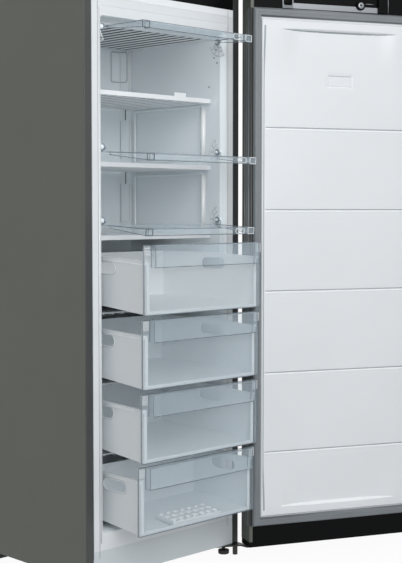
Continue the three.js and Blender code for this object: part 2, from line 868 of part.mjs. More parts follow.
function doorLinerShape() {
  const back = panelFace - doorLiner.wall - overcut;
  const shell = behindLiner(0, linerPlate.x, linerPlate.z, back).subtract(
    behindLiner(doorLiner.wall, linerPlate.x, linerPlate.z, back - overcut),
  );
  const lines = linerLines.map((z) =>
    box(across(panelHalf), [panelFace - linerLine.depth, panelFace + overcut], span(z, linerLine.width)),
  );
  const badge = box(
    span(liftBadge.x, liftBadge.width),
    [panelFace - doorLiner.wall / 2, panelFace + liftBadge.rise],
    span(liftBadge.z, liftBadge.height),
  );
  return shell.subtract(joined(lines)).add(badge);
}

function doorInsulation() {
  return behindLiner(
    doorLiner.wall + gap,
    [latchEdge + 2 * gap, halfCabinet - sheet - gap],
    [capLow + gap, capHigh - gap],
    doorOuter + sheet + gap,
  );
}

function doorGasket() {
  const outerHalf = halfCabinet - gasket.outer;
  const ring = (inset, y) => {
    const half = outerHalf - inset;
    const hole = outerHalf - gasket.width + inset;
    const inside = [gasket.bottom + gasket.width - inset, gasket.top - gasket.width + inset];
    return box(across(half), y, [gasket.bottom + inset, gasket.top - inset]).subtract(
      box(across(hole), [y[0] - overcut, y[1] + overcut], inside),
    );
  };
  const step = doorInner + gasket.baseHeight;
  return ring(0, [doorInner + gap, step]).add(ring(gasket.noseInset, [step - overcut, -gap]));
}

// ---------------------------------------------------------------- fittings on the door's upper band

const stripFace = doorInner + gap;
const stripX = [fromHinge(topStrip.to), fromHinge(topStrip.from)];
const stripZ = [topStrip.bottom, topStrip.bottom + topStrip.height];

const doorTopStrip = () => box(stripX, [stripFace, stripFace + topStrip.thickness], stripZ);

const doorStripEnd = () =>
  box(
    [stripX[1] + gap, stripX[1] + gap + stripEnd.width],
    [stripFace, stripFace + stripEnd.thickness],
    [topStrip.bottom, topStrip.bottom + stripEnd.height],
  );

function doorStripScrew() {
  const base = stripFace + topStrip.thickness + gap;
  const head = disc(fromHinge(stripScrew.from), stripScrew.z, stripScrew.radius, 20);
  const socket = disc(fromHinge(stripScrew.from), stripScrew.z, stripScrew.socketRadius, 6);
  return prism("y", head, base, base + stripScrew.height).subtract(
    prism("y", socket, base + stripScrew.height / 2, base + stripScrew.height + overcut),
  );
}

const doorTopBracket = () =>
  box(
    [stripX[0] - gap - topBracket.width, stripX[0] - gap],
    [stripFace, stripFace + topBracket.thickness],
    [topStrip.bottom, topStrip.bottom + topBracket.height],
  );

// ---------------------------------------------------------------- hinges

function hingeOutline(margin) {
  const reach = hinge.armRadius + margin;
  return [
    ...arc(pivotX, pivotY, reach, 180, 360, 8),
    [pivotX + reach, hinge.back + margin],
    [pivotX - hinge.width - margin, hinge.back + margin],
    [pivotX - hinge.width - margin, hinge.front],
    [pivotX - reach, hinge.front - hinge.width / 2],
  ];
}

function hingeBracket(plateLow, pinLow) {
  const plate = prism("z", hingeOutline(0), plateLow, plateLow + hinge.thickness);
  const pin = disc(pivotX, pivotY, hingePin.radius);
  return plate.add(prism("z", pin, pinLow, pinLow + hingePin.length + hinge.thickness / 2));
}

const lowerBracketBase = -gap - hinge.thickness;
const upperBracketBase = lidTop + gap;

const hingeBracketBottom = () => hingeBracket(lowerBracketBase, -gap - hinge.thickness / 2);
const hingeBracketTop = () => hingeBracket(upperBracketBase, upperBracketBase - hingePin.length);

function hingeCap() {
  const top = upperBracketBase + hingeCover.height;
  const room = prism(
    "z",
    hingeOutline(gap),
    upperBracketBase - overcut,
    upperBracketBase + hinge.thickness + gap,
  );
  return prism("z", hingeOutline(hingeCover.wall), upperBracketBase, top).subtract(room);
}

// ---------------------------------------------------------------- feet

function frontFoot(side) {
  const under = side < 0 ? -gap : lowerBracketBase - gap;
  return turned(
    [
      [0, -footHeight],
      [footPad.radius - 2, -footHeight],
      [footPad.radius, 2 - footHeight],
      [footPad.radius, footPad.height - footHeight],
      [footPad.stemRadius, footPad.height + 3 - footHeight],
      [footPad.stemRadius, under],
      [0, under],
    ],
    side * footPad.x,
    footPad.y,
    0,
    20,
  );
}

const rearFootBlock = (side) =>
  box(span(side * rearFoot.x, rearFoot.width), span(rearFoot.y, rearFoot.depth), [-footHeight, -gap]);

const hingeScrewShape = () =>
  prism(
    "z",
    disc(hingeScrew.x, hingeScrew.y, hingeScrew.radius, 6),
    hingeScrew.clearance - footHeight,
    lowerBracketBase - gap,
  );

// ---------------------------------------------------------------- cooling machine

const bayInner = bay.front + gap;
const bayWall = bayInner + sheet;
const trayTop = sheet + gap + mountPlate.thickness;
const flangeLow = trayTop + compressor.postHeight + gap;

function machineBayPanel() {
  const wall = box(across(shellInside - sheet - gap), [bayInner, bayWall], [sheet + gap, bay.top - gap]);
  const roof = box(
    across(shellInside - sheet - gap),
    [bayInner, foamBack],
    [bay.top - gap - sheet, bay.top - gap],
  );
  return wall.add(roof);
}

function compressorMount() {
  const { x, y, postX, postY } = compressor;
  const plate = box(span(x, mountPlate.width), span(y, mountPlate.depth), [sheet + gap, trayTop]);
  const post = (signX, signY) =>
    prism(
      "z",
      disc(x + signX * postX, y + signY * postY, compressor.postRadius, 12),
      trayTop - overcut,
      trayTop + compressor.postHeight,
    );
  return joined([plate, post(-1, -1), post(1, -1), post(-1, 1), post(1, 1)]);
}

function compressorShape() {
  const { x, y, radius, height, postX, postY, postRadius } = compressor;
  const flange = box(
    span(x, 2 * (postX + postRadius)),
    span(y, 2 * (postY + postRadius)),
    [flangeLow, flangeLow + compressor.flange],
  );
  const low = flangeLow + compressor.flange / 2;
  const dome = [
    [0, low],
    [radius * 0.9, low],
    [radius, low + radius * 0.2],
    [radius, low + height - radius * 0.5],
    [radius * 0.85, low + height - radius * 0.2],
    [radius * 0.5, low + height],
    [0, low + height],
  ];
  return flange.add(turned(dome, x, y, 0));
}

const filterDryer = () =>
  prism(
    "x",
    disc(bayWall + gap + dryer.radius, dryer.z, dryer.radius, 14),
    ...span(dryer.x, dryer.length),
  );

function powerInlet() {
  const back = foamBack - gap;
  const heights = [sheet + gap, sheet + gap + inlet.height];
  const body = box(span(inlet.x, inlet.width), [back - inlet.depth, back], heights);
  const socket = box(
    span(inlet.x, inlet.width - 2 * inlet.wall),
    [back - inlet.depth + inlet.wall, back + overcut],
    [heights[0] + inlet.wall, heights[1] - inlet.wall],
  );
  return body.subtract(socket);
}

// One tube winds up the back in level runs, between upright wires, on four stand-offs.
function condenserShape() {
  const { halfWidth, bottom, top, runs, tube, wires, wire, standOff } = condenser;
  const y = backFace + gap + standOff;
  const pitch = (top - bottom) / (runs - 1);
  const run = (z) => prism("x", disc(y, z, tube, 6), -halfWidth, halfWidth);
  const bend = (z, side) => {
    const ring = new THREE.LatheGeometry(
      [...disc(pitch / 2, 0, tube, 6), [pitch / 2 + tube, 0]].map(([u, v]) => new THREE.Vector2(u, v)),
      16,
    );
    const outside = sided(side, halfWidth - gap, halfWidth + pitch);
    return solid(ring.translate(side * halfWidth, y, z + pitch / 2)).intersect(
      box(outside, span(y, 3 * tube), span(z + pitch / 2, 2 * pitch)),
    );
  };
  const levels = Array.from({ length: runs }, (_, i) => bottom + i * pitch);
  const spacing = (2 * halfWidth) / (wires + 1);
  const upright = (i) =>
    box(
      span(-halfWidth + spacing * (i + 1), wire),
      [y - tube - wire / 2, y - tube + wire / 2],
      [bottom - pitch / 4, top + pitch / 4],
    );
  const leg = (side, z) =>
    box(span((side * (halfWidth - spacing)), 4 * wire), [backFace + gap, y], span(z, 4 * wire));
  return joined([
    ...levels.map(run),
    ...levels.slice(1).map((_, i) => bend(levels[i], i % 2 ? -1 : 1)),
    ...Array.from({ length: wires }, (_, i) => upright(i)),
    both((side) => leg(side, levels[1])),
    both((side) => leg(side, levels[runs - 2])),
  ]);
}

// ---------------------------------------------------------------- assembly

const cabinet = new THREE.Group();
cabinet.position.y = -cabinetDepth / 2;
cabinet.add(
  piece("side_panel_left", sidePanel(-1), materials.oliveSteel),
  piece("side_panel_right", sidePanel(1), materials.oliveSteel),
  piece("lid", lid(), materials.oliveSteel),
  piece("back_panel", backPanel(), materials.galvanised),
  piece("base_pan", basePan(), materials.galvanised),
  piece("cabinet_insulation", cabinetInsulation(), materials.foam),
  piece("inner_liner", innerLiner(), materials.whitePlastic),
  piece(
    "frame_top_rail",
    box(across(frameHalfWidth), [0, frameThickness], [frameSeam, frameTop]),
    materials.whitePlastic,
  ),
  piece("plinth_panel", plinthPanel(), materials.whiteSteel),
  piece("control_panel", controlPanel(), materials.blackPlastic),
  piece("control_display", controlDisplay(), materials.displayGlass),
  piece("ceiling_evaporator", ceilingEvaporator(), materials.whitePlastic),
  piece("hinge_bracket_top", hingeBracketTop(), materials.steel),
  piece("hinge_bracket_bottom", hingeBracketBottom(), materials.steel),
  piece("hinge_cover", hingeCap(), materials.blackPlastic),
  piece("hinge_screw", hingeScrewShape(), materials.steel),
  piece("front_foot_left", frontFoot(-1), materials.blackRubber),
  piece("front_foot_right", frontFoot(1), materials.blackRubber),
  piece("rear_foot_left", rearFootBlock(-1), materials.blackRubber),
  piece("rear_foot_right", rearFootBlock(1), materials.blackRubber),
  piece("machine_bay_panel", machineBayPanel(), materials.galvanised),
  piece("compressor_mount", compressorMount(), materials.galvanised),
  piece("compressor", compressorShape(), materials.darkPaint),
  piece("filter_dryer", filterDryer(), materials.copper),
  piece("power_inlet", powerInlet(), materials.blackPlastic),
  piece("condenser", condenserShape(), materials.darkPaint),
);

shelfHeights.forEach((z, index) => {
  const name = shelfNames[index];
  cabinet.add(
    piece(`shelf_${name}`, shelfPlate(z), materials.whitePlastic),
    piece(`shelf_trim_${name}`, shelfTrim(z, index === 0), materials.whitePlastic),
  );
});
flaps.forEach((size) => cabinet.add(flapPiece(size)));
drawers.forEach((_, index) => cabinet.add(drawerGroup(index)));
drawers.slice(0, -1).forEach(({ name }, index) => {
  cabinet.add(piece(`drawer_shelf_${name}`, drawerShelfPlate(index), materials.whitePlastic));
});

const door = new THREE.Group();
door.position.set(pivotX, pivotY, 0);
door.rotation.z = THREE.MathUtils.degToRad(doorAngle);
[
  piece("door_skin", doorSkin(), materials.oliveSteel),
  piece("door_insulation", doorInsulation(), materials.foam),
  piece("door_liner", doorLinerShape(), materials.whitePlastic),
  piece("door_gasket", doorGasket(), materials.greyRubber),
  piece("door_cap_top", topCap(), materials.blackPlastic),
  piece("door_cap_bottom", bottomCap(), materials.blackPlastic),
  piece("door_edge_grip", doorEdgeGrip(), materials.blackPlastic),
  piece("door_top_strip", doorTopStrip(), materials.steel),
  piece("door_strip_end", doorStripEnd(), materials.greyRubber),
  piece("door_strip_screw", doorStripScrew(), materials.blackPlastic),
  piece("door_top_bracket", doorTopBracket(), materials.blackPlastic),
].forEach((mesh) => {
  mesh.position.set(-pivotX, -pivotY, 0);
  door.add(mesh);
});
cabinet.add(door);

const freezer = new THREE.Group();
freezer.add(cabinet);

export default freezer;
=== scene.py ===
"""Upright freezer with an open door: finishes, fine pieces, camera and studio."""
import json
import math

import bmesh
import bpy
from mathutils import Matrix, Vector


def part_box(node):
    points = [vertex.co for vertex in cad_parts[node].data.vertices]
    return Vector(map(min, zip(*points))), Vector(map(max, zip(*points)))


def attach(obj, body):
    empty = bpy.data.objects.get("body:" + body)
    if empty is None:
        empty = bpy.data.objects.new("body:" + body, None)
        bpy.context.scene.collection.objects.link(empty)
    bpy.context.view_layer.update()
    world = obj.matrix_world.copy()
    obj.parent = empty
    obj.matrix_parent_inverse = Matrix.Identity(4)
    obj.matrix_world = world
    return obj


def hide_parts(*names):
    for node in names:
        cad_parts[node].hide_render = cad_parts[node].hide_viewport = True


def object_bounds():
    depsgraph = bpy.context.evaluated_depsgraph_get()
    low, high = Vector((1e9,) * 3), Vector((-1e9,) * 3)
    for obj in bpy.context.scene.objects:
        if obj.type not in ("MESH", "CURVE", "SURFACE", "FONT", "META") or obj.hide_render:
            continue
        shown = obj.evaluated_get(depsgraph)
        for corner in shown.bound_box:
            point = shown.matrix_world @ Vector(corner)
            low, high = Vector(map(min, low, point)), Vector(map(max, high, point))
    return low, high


# sizes of pieces are millimetres; materials, camera and lamps are in the frame's metres
MM = 0.001
CABINET_DEPTH = 520

# ---------------------------------------------------------------- frame

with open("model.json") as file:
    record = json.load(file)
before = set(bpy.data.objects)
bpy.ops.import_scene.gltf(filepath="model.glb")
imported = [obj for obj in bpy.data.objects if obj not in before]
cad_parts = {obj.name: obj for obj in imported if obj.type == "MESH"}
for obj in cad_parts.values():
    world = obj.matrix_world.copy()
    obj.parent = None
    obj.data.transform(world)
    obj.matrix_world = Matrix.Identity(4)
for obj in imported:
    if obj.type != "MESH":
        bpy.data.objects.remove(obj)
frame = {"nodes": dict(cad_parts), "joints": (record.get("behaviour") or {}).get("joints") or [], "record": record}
nodes = frame["nodes"]
joints = {joint["name"]: joint for joint in frame["joints"]}
cad_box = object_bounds()

door_pivot = Vector(joints["door_hinge"]["pos_m"])
door_open = Matrix.Rotation(math.radians(-joints["door_hinge"]["range_deg"][0]), 4, "Z")
door_place = Matrix.Translation(door_pivot) @ door_open @ Matrix.Translation(-door_pivot)

# ---------------------------------------------------------------- colours, as seen in even light, apart from the painted light and shade noted below


def colour(red, green, blue):
    """A colour of 0 to 255 a channel as linear values."""
    shares = [channel / 255 for channel in (red, green, blue)]
    linear = [s / 12.92 if s <= 10 / 255 else ((s + 0.055) / 1.055) ** 2.4 for s in shares]
    return (*linear, 1.0)


OLIVE = colour(84, 88, 80)
WHITE = colour(234, 238, 241)
INSIDE = colour(240, 247, 251)
FRAME = colour(222, 226, 229)
DOOR_PANEL = colour(224, 228, 231)
FLANGE = colour(58, 60, 60)
PLINTH = colour(205, 212, 216)
BLACK = colour(11, 12, 13)
SEAL = colour(118, 124, 128)
# painted shade: the tubs' outsides are a darker white than their insides, which get the liner's lighter finishes
TUB = colour(221, 226, 229)
CLEAR = colour(214, 231, 241)
# painted highlight on the narrow faces and edges of clear solids
CLEAR_EDGE_HIGHLIGHT = colour(172, 186, 196)
# painted shade along the edges of clear flaps and drawer fronts
CLEAR_SHADE_LINE = colour(104, 116, 124)
CLEAR_LIT = colour(236, 242, 246)
# painted shade in the gaps between the evaporator's and shelves' tubes; the same dark grey on the corner seams and
# the wall studs
SHADE = colour(40, 46, 50)
# painted shade and painted light on the liner, its mouldings and the drawers; the shade's grey also marks the
# seams
LINER_SHADE = colour(156, 164, 170)
LINER_LIT = colour(250, 253, 255)
# painted shade: the right flange, in shadow between door and cabinet, is darker than the left one
FLANGE_PAINTED_SHADE = colour(42, 45, 46)
ZINC = colour(176, 180, 184)
CHROME = colour(132, 136, 140)
DARK_STEEL = colour(62, 62, 60)
# painted shade: the foam is darker than its own cream, so the narrow gaps it shows through read dark
FOAM = colour(150, 146, 132)
SOOT = colour(30, 31, 32)
COPPER = colour(184, 115, 75)
GLASS = colour(12, 14, 17)
FOOT = colour(38, 38, 39)

# ---------------------------------------------------------------- materials


def start_material(name):
    """A new material with its node tree and its shader."""
    material = bpy.data.materials.new(name)
    material.use_nodes = True
    tree = material.node_tree
    return material, tree, tree.nodes["Principled BSDF"]


def add(tree, kind, inputs=(), **settings):
    """Adds a node with its settings; an input given as a socket is linked, any other is set."""
    made = tree.nodes.new(kind)
    for key, value in settings.items():
        setattr(made, key, value)
    for key, value in dict(inputs).items():
        if isinstance(value, bpy.types.NodeSocket):
            tree.links.new(value, made.inputs[key])
        else:
            made.inputs[key].default_value = value
    return made


def tint(rgba, share):
    """A colour made darker or lighter."""
    return (*[min(1.0, channel * share) for channel in rgba[:3]], 1.0)


def noise(tree, scale, detail=3.0, stretch=(1, 1, 1)):
    """Cloudy noise in the piece's own coordinates, its scale in features a metre."""
    place = add(tree, "ShaderNodeTexCoord")
    scaled = add(tree, "ShaderNodeMapping", {"Vector": place.outputs["Object"], "Scale": stretch})
    texture = add(
        tree,
        "ShaderNodeTexNoise",
        {"Vector": scaled.outputs["Vector"], "Scale": scale, "Detail": detail, "Roughness": 0.55},
    )
    return texture.outputs["Fac"]


def two_tone(tree, factor, dark, light, low=0.35, high=0.65):
    """A ramp from a dark to a light colour."""
    ramp = add(tree, "ShaderNodeValToRGB", {"Fac": factor})
    for stop, place, tone in zip(ramp.color_ramp.elements, (low, high), (dark, light)):
        stop.position = place
        stop.color = tone
    return ramp.outputs["Color"]


def spread(tree, factor, low, high):
    """Stretches a factor of 0 to 1 over a range."""
    ranged = add(tree, "ShaderNodeMapRange", {"Value": factor, "To Min": low, "To Max": high})
    return ranged.outputs["Result"]


def bump(tree, shader, height, distance):
    """Raises a surface by a height factor, over a distance in metres."""
    made = add(tree, "ShaderNodeBump", {"Height": height, "Distance": distance, "Strength": 1.0})
    tree.links.new(made.outputs["Normal"], shader.inputs["Normal"])


def surface(name, rgba, roughness, variation, patch, grain, depth, coat=0.0, specular=0.5):
    """A painted, moulded or rubber surface: faint patches of tone and gloss over a fine grain."""
    material, tree, shader = start_material(name)
    patches = noise(tree, patch, 1.0)
    tone = two_tone(tree, patches, tint(rgba, 1 - variation), tint(rgba, 1 + variation))
    tree.links.new(tone, shader.inputs["Base Color"])
    smudges = noise(tree, patch * 4, 4.0)
    gloss = spread(tree, smudges, roughness * 0.85, min(1.0, roughness * 1.2))
    tree.links.new(gloss, shader.inputs["Roughness"])
    shader.inputs["Coat Weight"].default_value = coat
    shader.inputs["Specular IOR Level"].default_value = specular
    bump(tree, shader, noise(tree, grain, 2.0), depth)
    return material


def galvanised():
    """Zinc on sheet steel, with its crystal spangle."""
    material, tree, shader = start_material("galvanised_sheet")
    place = add(tree, "ShaderNodeTexCoord").outputs["Object"]
    crystals = add(tree, "ShaderNodeTexVoronoi", {"Vector": place, "Scale": 90.0})
    tone = two_tone(tree, crystals.outputs["Color"], tint(ZINC, 0.86), tint(ZINC, 1.08), 0.2, 0.9)
    tree.links.new(tone, shader.inputs["Base Color"])
    tree.links.new(spread(tree, crystals.outputs["Color"], 0.36, 0.56), shader.inputs["Roughness"])
    shader.inputs["Metallic"].default_value = 0.9
    bump(tree, shader, noise(tree, 300), 0.00002)
    return material


def clear_plastic(name, rgba, face_on, edge_on):
    """Clear moulded plastic: see-through face on, milky and glossy towards its edges."""
    material, tree, shader = start_material(name)
    tone = two_tone(tree, noise(tree, 12), tint(rgba, 0.97), tint(rgba, 1.03))
    tree.links.new(tone, shader.inputs["Base Color"])
    glancing = add(tree, "ShaderNodeFresnel", {"IOR": 1.3}).outputs[0]
    tree.links.new(spread(tree, glancing, face_on, edge_on), shader.inputs["Alpha"])
    tree.links.new(spread(tree, noise(tree, 30), 0.05, 0.12), shader.inputs["Roughness"])
    shader.inputs["IOR"].default_value = 1.5
    bump(tree, shader, noise(tree, 40, 2.0), 0.0001)
    return material


def rigid_foam():
    """Dull foam with a rough, open skin, darkened from the foam's own cream as painted shade for the narrow gaps
    it shows through.
    """
    material, tree, shader = start_material("rigid_foam")
    cells = noise(tree, 600, 6.0)
    tree.links.new(two_tone(tree, cells, tint(FOAM, 0.85), FOAM), shader.inputs["Base Color"])
    shader.inputs["Roughness"].default_value = 0.95
    bump(tree, shader, cells, 0.0004)
    return material


def plated_steel(name, rgba, roughness):
    """Metal with fine lines along it."""
    material, tree, shader = start_material(name)
    lines = noise(tree, 120, 4.0, (1, 1, 30))
    tone = two_tone(tree, lines, tint(rgba, 0.93), rgba)
    gloss = spread(tree, lines, roughness * 0.8, roughness * 1.2)
    tree.links.new(tone, shader.inputs["Base Color"])
    tree.links.new(gloss, shader.inputs["Roughness"])
    shader.inputs["Metallic"].default_value = 1.0
    bump(tree, shader, lines, 0.00001)
    return material


# colour, roughness, variation of tone, patches and grain to the metre, depth of the grain in metres
SURFACES = {
    "olive_steel": (OLIVE, 0.42, 0.02, 3.0, 700.0, 0.00003),
    "flange_steel": (FLANGE, 0.42, 0.02, 3.0, 700.0, 0.00003),
    "flange_painted_shade": (FLANGE_PAINTED_SHADE, 0.42, 0.02, 3.0, 700.0, 0.00003),
    "white_steel": (PLINTH, 0.4, 0.02, 4.0, 700.0, 0.00002),
    "white_plastic": (WHITE, 0.3, 0.012, 4.0, 500.0, 0.00002),
    "tub_painted_shade": (TUB, 0.34, 0.012, 4.0, 500.0, 0.00002),
    "liner_plastic": (INSIDE, 0.32, 0.012, 4.0, 60.0, 0.00006),
    "liner_lit": (LINER_LIT, 0.35, 0.01, 8.0, 300.0, 0.00002),
    "liner_shade": (LINER_SHADE, 0.4, 0.02, 8.0, 300.0, 0.00002),
    "frame_plastic": (FRAME, 0.3, 0.01, 4.0, 60.0, 0.00006),
    "door_panel": (DOOR_PANEL, 0.3, 0.01, 3.0, 45.0, 0.00006),
    "gap_shade_and_dark_grey": (SHADE, 0.5, 0.05, 12.0, 500.0, 0.00002),
    "grey_rubber": (SEAL, 0.55, 0.04, 10.0, 500.0, 0.00002),
    "black_rubber": (FOOT, 0.7, 0.06, 20.0, 800.0, 0.00005),
    "dark_paint": (SOOT, 0.38, 0.08, 20.0, 900.0, 0.00004),
}
FINISH = {name: surface(name, *values) for name, values in SURFACES.items()}
FINISH |= {
    "black_plastic": surface("black_plastic", BLACK, 0.3, 0.06, 6.0, 900.0, 0.00002, specular=0.06),
    "display_glass": surface("display_glass", GLASS, 0.06, 0.02, 3.0, 50.0, 0.00001, coat=0.5),
    "galvanised": galvanised(),
    "foam": rigid_foam(),
    "clear_plastic": clear_plastic("clear_plastic", CLEAR, 0.12, 0.34),
    "clear_edge_highlight": clear_plastic("clear_edge_highlight", CLEAR_EDGE_HIGHLIGHT, 0.6, 0.9),
    "clear_shade_line": clear_plastic("clear_shade_line", CLEAR_SHADE_LINE, 0.72, 0.95),
    "clear_lit": clear_plastic("clear_lit", CLEAR_LIT, 0.75, 0.95),
    "dark_steel": plated_steel("dark_steel", DARK_STEEL, 0.4),
    "steel": plated_steel("plated_steel", CHROME, 0.3),
    "copper": plated_steel("copper", COPPER, 0.28),
}

DARK_NODES = ("hinge_bracket_bottom", "hinge_screw")
LINER_NODES = ("inner_liner", "door_liner", "ceiling_evaporator")


def finish_of(node):
    """A carried-over solid's finish: its slot's, apart from those that look different."""
    slots = {part["node"]: part["material_slot"] for part in frame["record"]["subparts"]}
    if node in DARK_NODES:
        return FINISH["dark_steel"]
    # the tubs' outsides get a darker white: painted shade
    if node.startswith("drawer_tub"):
        return FINISH["tub_painted_shade"]
    return FINISH["liner_plastic" if node in LINER_NODES else slots[node]]


# ---------------------------------------------------------------- edges of the carried-over solids

EDGE = {
    "side_panel": 0.4,
    "lid": 0.5,
    "back_panel": 0.4,
    "base_pan": 0.4,
    "inner_liner": 1.0,
    "frame_top_rail": 0.8,
    "plinth_panel": 0.6,
    "control_panel": 1.5,
    "shelf": 1.0,
    "drawer_shelf": 1.0,
    "drawer_tub": 0.9,
    "drawer_front": 0.8,
    "flap": 0.7,
    "door_skin": 0.4,
    "door_cap": 1.5,
    "door_edge_grip": 1.5,
    "door_liner": 0.8,
    "hinge_cover": 2.0,
}
DEFAULT_EDGE = 0.6
NARROW = 5.0
FRONT_SLICE = 2.0
FRONT_FINISH = {
    "inner_liner": "frame_plastic",
    "side_panel_left": "flange_steel",
    # painted shade on the right flange's front
    "side_panel_right": "flange_painted_shade",
}


def edge_width(name):
    """The edge of the longest name that a solid's name starts with."""
    fits = [key for key in EDGE if name.startswith(key)]
    return EDGE[max(fits, key=len)] if fits else DEFAULT_EDGE


def soften(piece, width):
    """Rounds a piece's sharp edges, and shades it smooth between them."""
    weld = piece.modifiers.new("weld", "WELD")
    weld.merge_threshold = 0.00001
    flat = piece.modifiers.new("flat", "DECIMATE")
    flat.decimate_type = "DISSOLVE"
    flat.angle_limit = math.radians(0.8)
    edge = piece.modifiers.new("edge", "BEVEL")
    edge.width = width * MM
    edge.segments = 2
    edge.limit_method = "ANGLE"
    edge.angle_limit = math.radians(32)
    edge.miter_outer = "MITER_ARC"
    for face in piece.data.polygons:
        face.use_smooth = True
    normals = piece.modifiers.new("normals", "WEIGHTED_NORMAL")
    normals.weight = 80


def light_the_edges(solid):
    """Paints a highlight on the narrow faces and rounded edges of a clear solid: they get their own, brighter
    look.
    """
    solid.data.materials.append(FINISH["clear_edge_highlight"])
    mesh = bmesh.new()
    mesh.from_mesh(solid.data)
    flat_edge = math.radians(1)
    unseen = set(mesh.faces)
    narrow = set()
    while unseen:
        front = [unseen.pop()]
        region = set(front)
        while front:
            for edge in front.pop().edges:
                for other in edge.link_faces:
                    if other in unseen and edge.calc_face_angle(math.pi) < flat_edge:
                        unseen.discard(other)
                        region.add(other)
                        front.append(other)
        corners = [vertex.co for face in region for vertex in face.verts]
        extents = sorted(max(c[i] for c in corners) - min(c[i] for c in corners) for i in range(3))
        if extents[1] < NARROW * MM:
            narrow |= {face.index for face in region}
    mesh.free()
    for face in solid.data.polygons:
        face.material_index = 1 if face.index in narrow else 0
    solid.modifiers["edge"].material = 1


def refinish_front(solid, finish):
    """Gives the faces in the cabinet's front plane their own finish."""
    solid.data.materials.append(FINISH[finish])
    turn = solid.matrix_world.to_3x3()
    front_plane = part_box(solid.name)[0].y + FRONT_SLICE * MM
    for face in solid.data.polygons:
        ahead = (solid.matrix_world @ face.center).y < front_plane
        face.material_index = 1 if ahead and (turn @ face.normal).y < -0.5 else 0


def paint_light_inside(solid, finish):
    """Paints light into an open tub: the faces that look into it get their own finish, lighter than its outside.
    """
    solid.data.materials.append(FINISH[finish])
    low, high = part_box(solid.name)
    middle = (low + high) / 2
    turn = solid.matrix_world.to_3x3()
    for face in solid.data.polygons:
        inward = middle - solid.matrix_world @ face.center
        face.material_index = 1 if inward.dot(turn @ face.normal) > 0 else 0


for name, solid in nodes.items():
    finish = finish_of(name)
    solid.data.materials.clear()
    solid.data.materials.append(finish)
    soften(solid, edge_width(name))
    if finish is FINISH["clear_plastic"]:
        light_the_edges(solid)
    if name in FRONT_FINISH:
        refinish_front(solid, FRONT_FINISH[name])
    # painted light inside the tubs, lightest in the top drawer
    if name.startswith("drawer_tub"):
        paint_light_inside(solid, "liner_lit" if name == "drawer_tub_top" else "liner_plastic")
    if len(solid.data.materials) > 1:
        solid.modifiers["flat"].delimit = {"MATERIAL"}

# ---------------------------------------------------------------- shapes of the fine pieces


def in_frame(point):
    """A point of the cabinet, in millimetres with y = 0 at its front, in the frame's metres."""
    return Vector((point[0], point[1] - CABINET_DEPTH / 2, point[2])) * MM


class Shape:
    """A mesh gathered from blocks, sweeps, lofts and turned forms, all in millimetres."""

    def __init__(self):
        self.points, self.faces = [], []

    def rings(self, rings, closed=False):
        """Joins rings of equally many points; the first and last are capped unless it is closed."""
        start, count = len(self.points), len(rings[0])
        self.points += [Vector(point) for ring in rings for point in ring]
        for r in range(len(rings) if closed else len(rings) - 1):
            low, high = start + r * count, start + (r + 1) % len(rings) * count
            for i in range(count):
                j = (i + 1) % count
                self.faces.append((low + i, low + j, high + j, high + i))
        if not closed:
            last = start + (len(rings) - 1) * count
            self.faces.append(tuple(range(start + count - 1, start - 1, -1)))
            self.faces.append(tuple(range(last, last + count)))
        return self

    def block(self, xs, ys, zs):
        """A block between two places on each axis."""
        square = [(xs[0], ys[0]), (xs[1], ys[0]), (xs[1], ys[1]), (xs[0], ys[1])]
        return self.rings([[(x, y, z) for x, y in square] for z in zs])

    def prism(self, axis, outline, start, end):
        """Pushes an outline of the two other coordinates, in their order, along an axis."""
        place = {
            "x": lambda a, b, c: (c, a, b),
            "y": lambda a, b, c: (a, c, b),
            "z": lambda a, b, c: (a, b, c),
        }[axis]
        return self.rings([[place(a, b, c) for a, b in outline] for c in (start, end)])

    def turned(self, profile, centre, axis="z", sides=24):
        """Turns a profile of (radius, distance along the axis) round a centre."""
        order = {"x": (2, 0, 1), "y": (0, 2, 1), "z": (0, 1, 2)}[axis]
        ring = []
        for radius, along in profile:
            spokes = [2 * math.pi * i / sides for i in range(sides)]
            local = [(radius * math.cos(a), radius * math.sin(a), along) for a in spokes]
            ring.append([[point[order.index(i)] + centre[i] for i in range(3)] for point in local])
        return self.rings(ring)

    def sweep(self, path, normal, profile, closed=False):
        """Carries a profile of (outwards, along the normal) round a flat path, with mitred corners."""
        normal = Vector(normal).normalized()
        path = [Vector(point) for point in path]
        rings, count = [], len(path)
        for i, point in enumerate(path):
            before = (point - path[i - 1]).normalized() if closed or i else None
            after = (path[(i + 1) % count] - point).normalized() if closed or i < count - 1 else None
            sides = [normal.cross(way) for way in (before or after, after or before)]
            mitre = (sides[0] + sides[1]) / (1 + sides[0].dot(sides[1]))
            rings.append([point + mitre * u + normal * v for u, v in profile])
        return self.rings(rings, closed)

    def wire(self, path, normal, width, closed=False):
        """A round-edged line along a flat path."""
        half = width / 2
        return self.sweep(path, normal, arc(0, 0, half, 0, 315, 7), closed)

    def make(self, name, body, finish, slot, edge=0.0, replaces=(), door=False):
        """Makes the piece; one that is given in the closed door's place is swung open with it."""
        mesh = bpy.data.meshes.new(name)
        mesh.from_pydata([in_frame(point) for point in self.points], [], self.faces)
        clean = bmesh.new()
        clean.from_mesh(mesh)
        bmesh.ops.recalc_face_normals(clean, faces=clean.faces)
        clean.to_mesh(mesh)
        clean.free()
        if door:
            mesh.transform(door_place)
        mesh.materials.append(FINISH[finish])
        made = bpy.data.objects.new(name, mesh)
        bpy.context.scene.collection.objects.link(made)
        if edge:
            soften(made, edge)
        else:
            mesh.shade_smooth()
        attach(made, body)
        if replaces:
            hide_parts(*replaces)
        return made


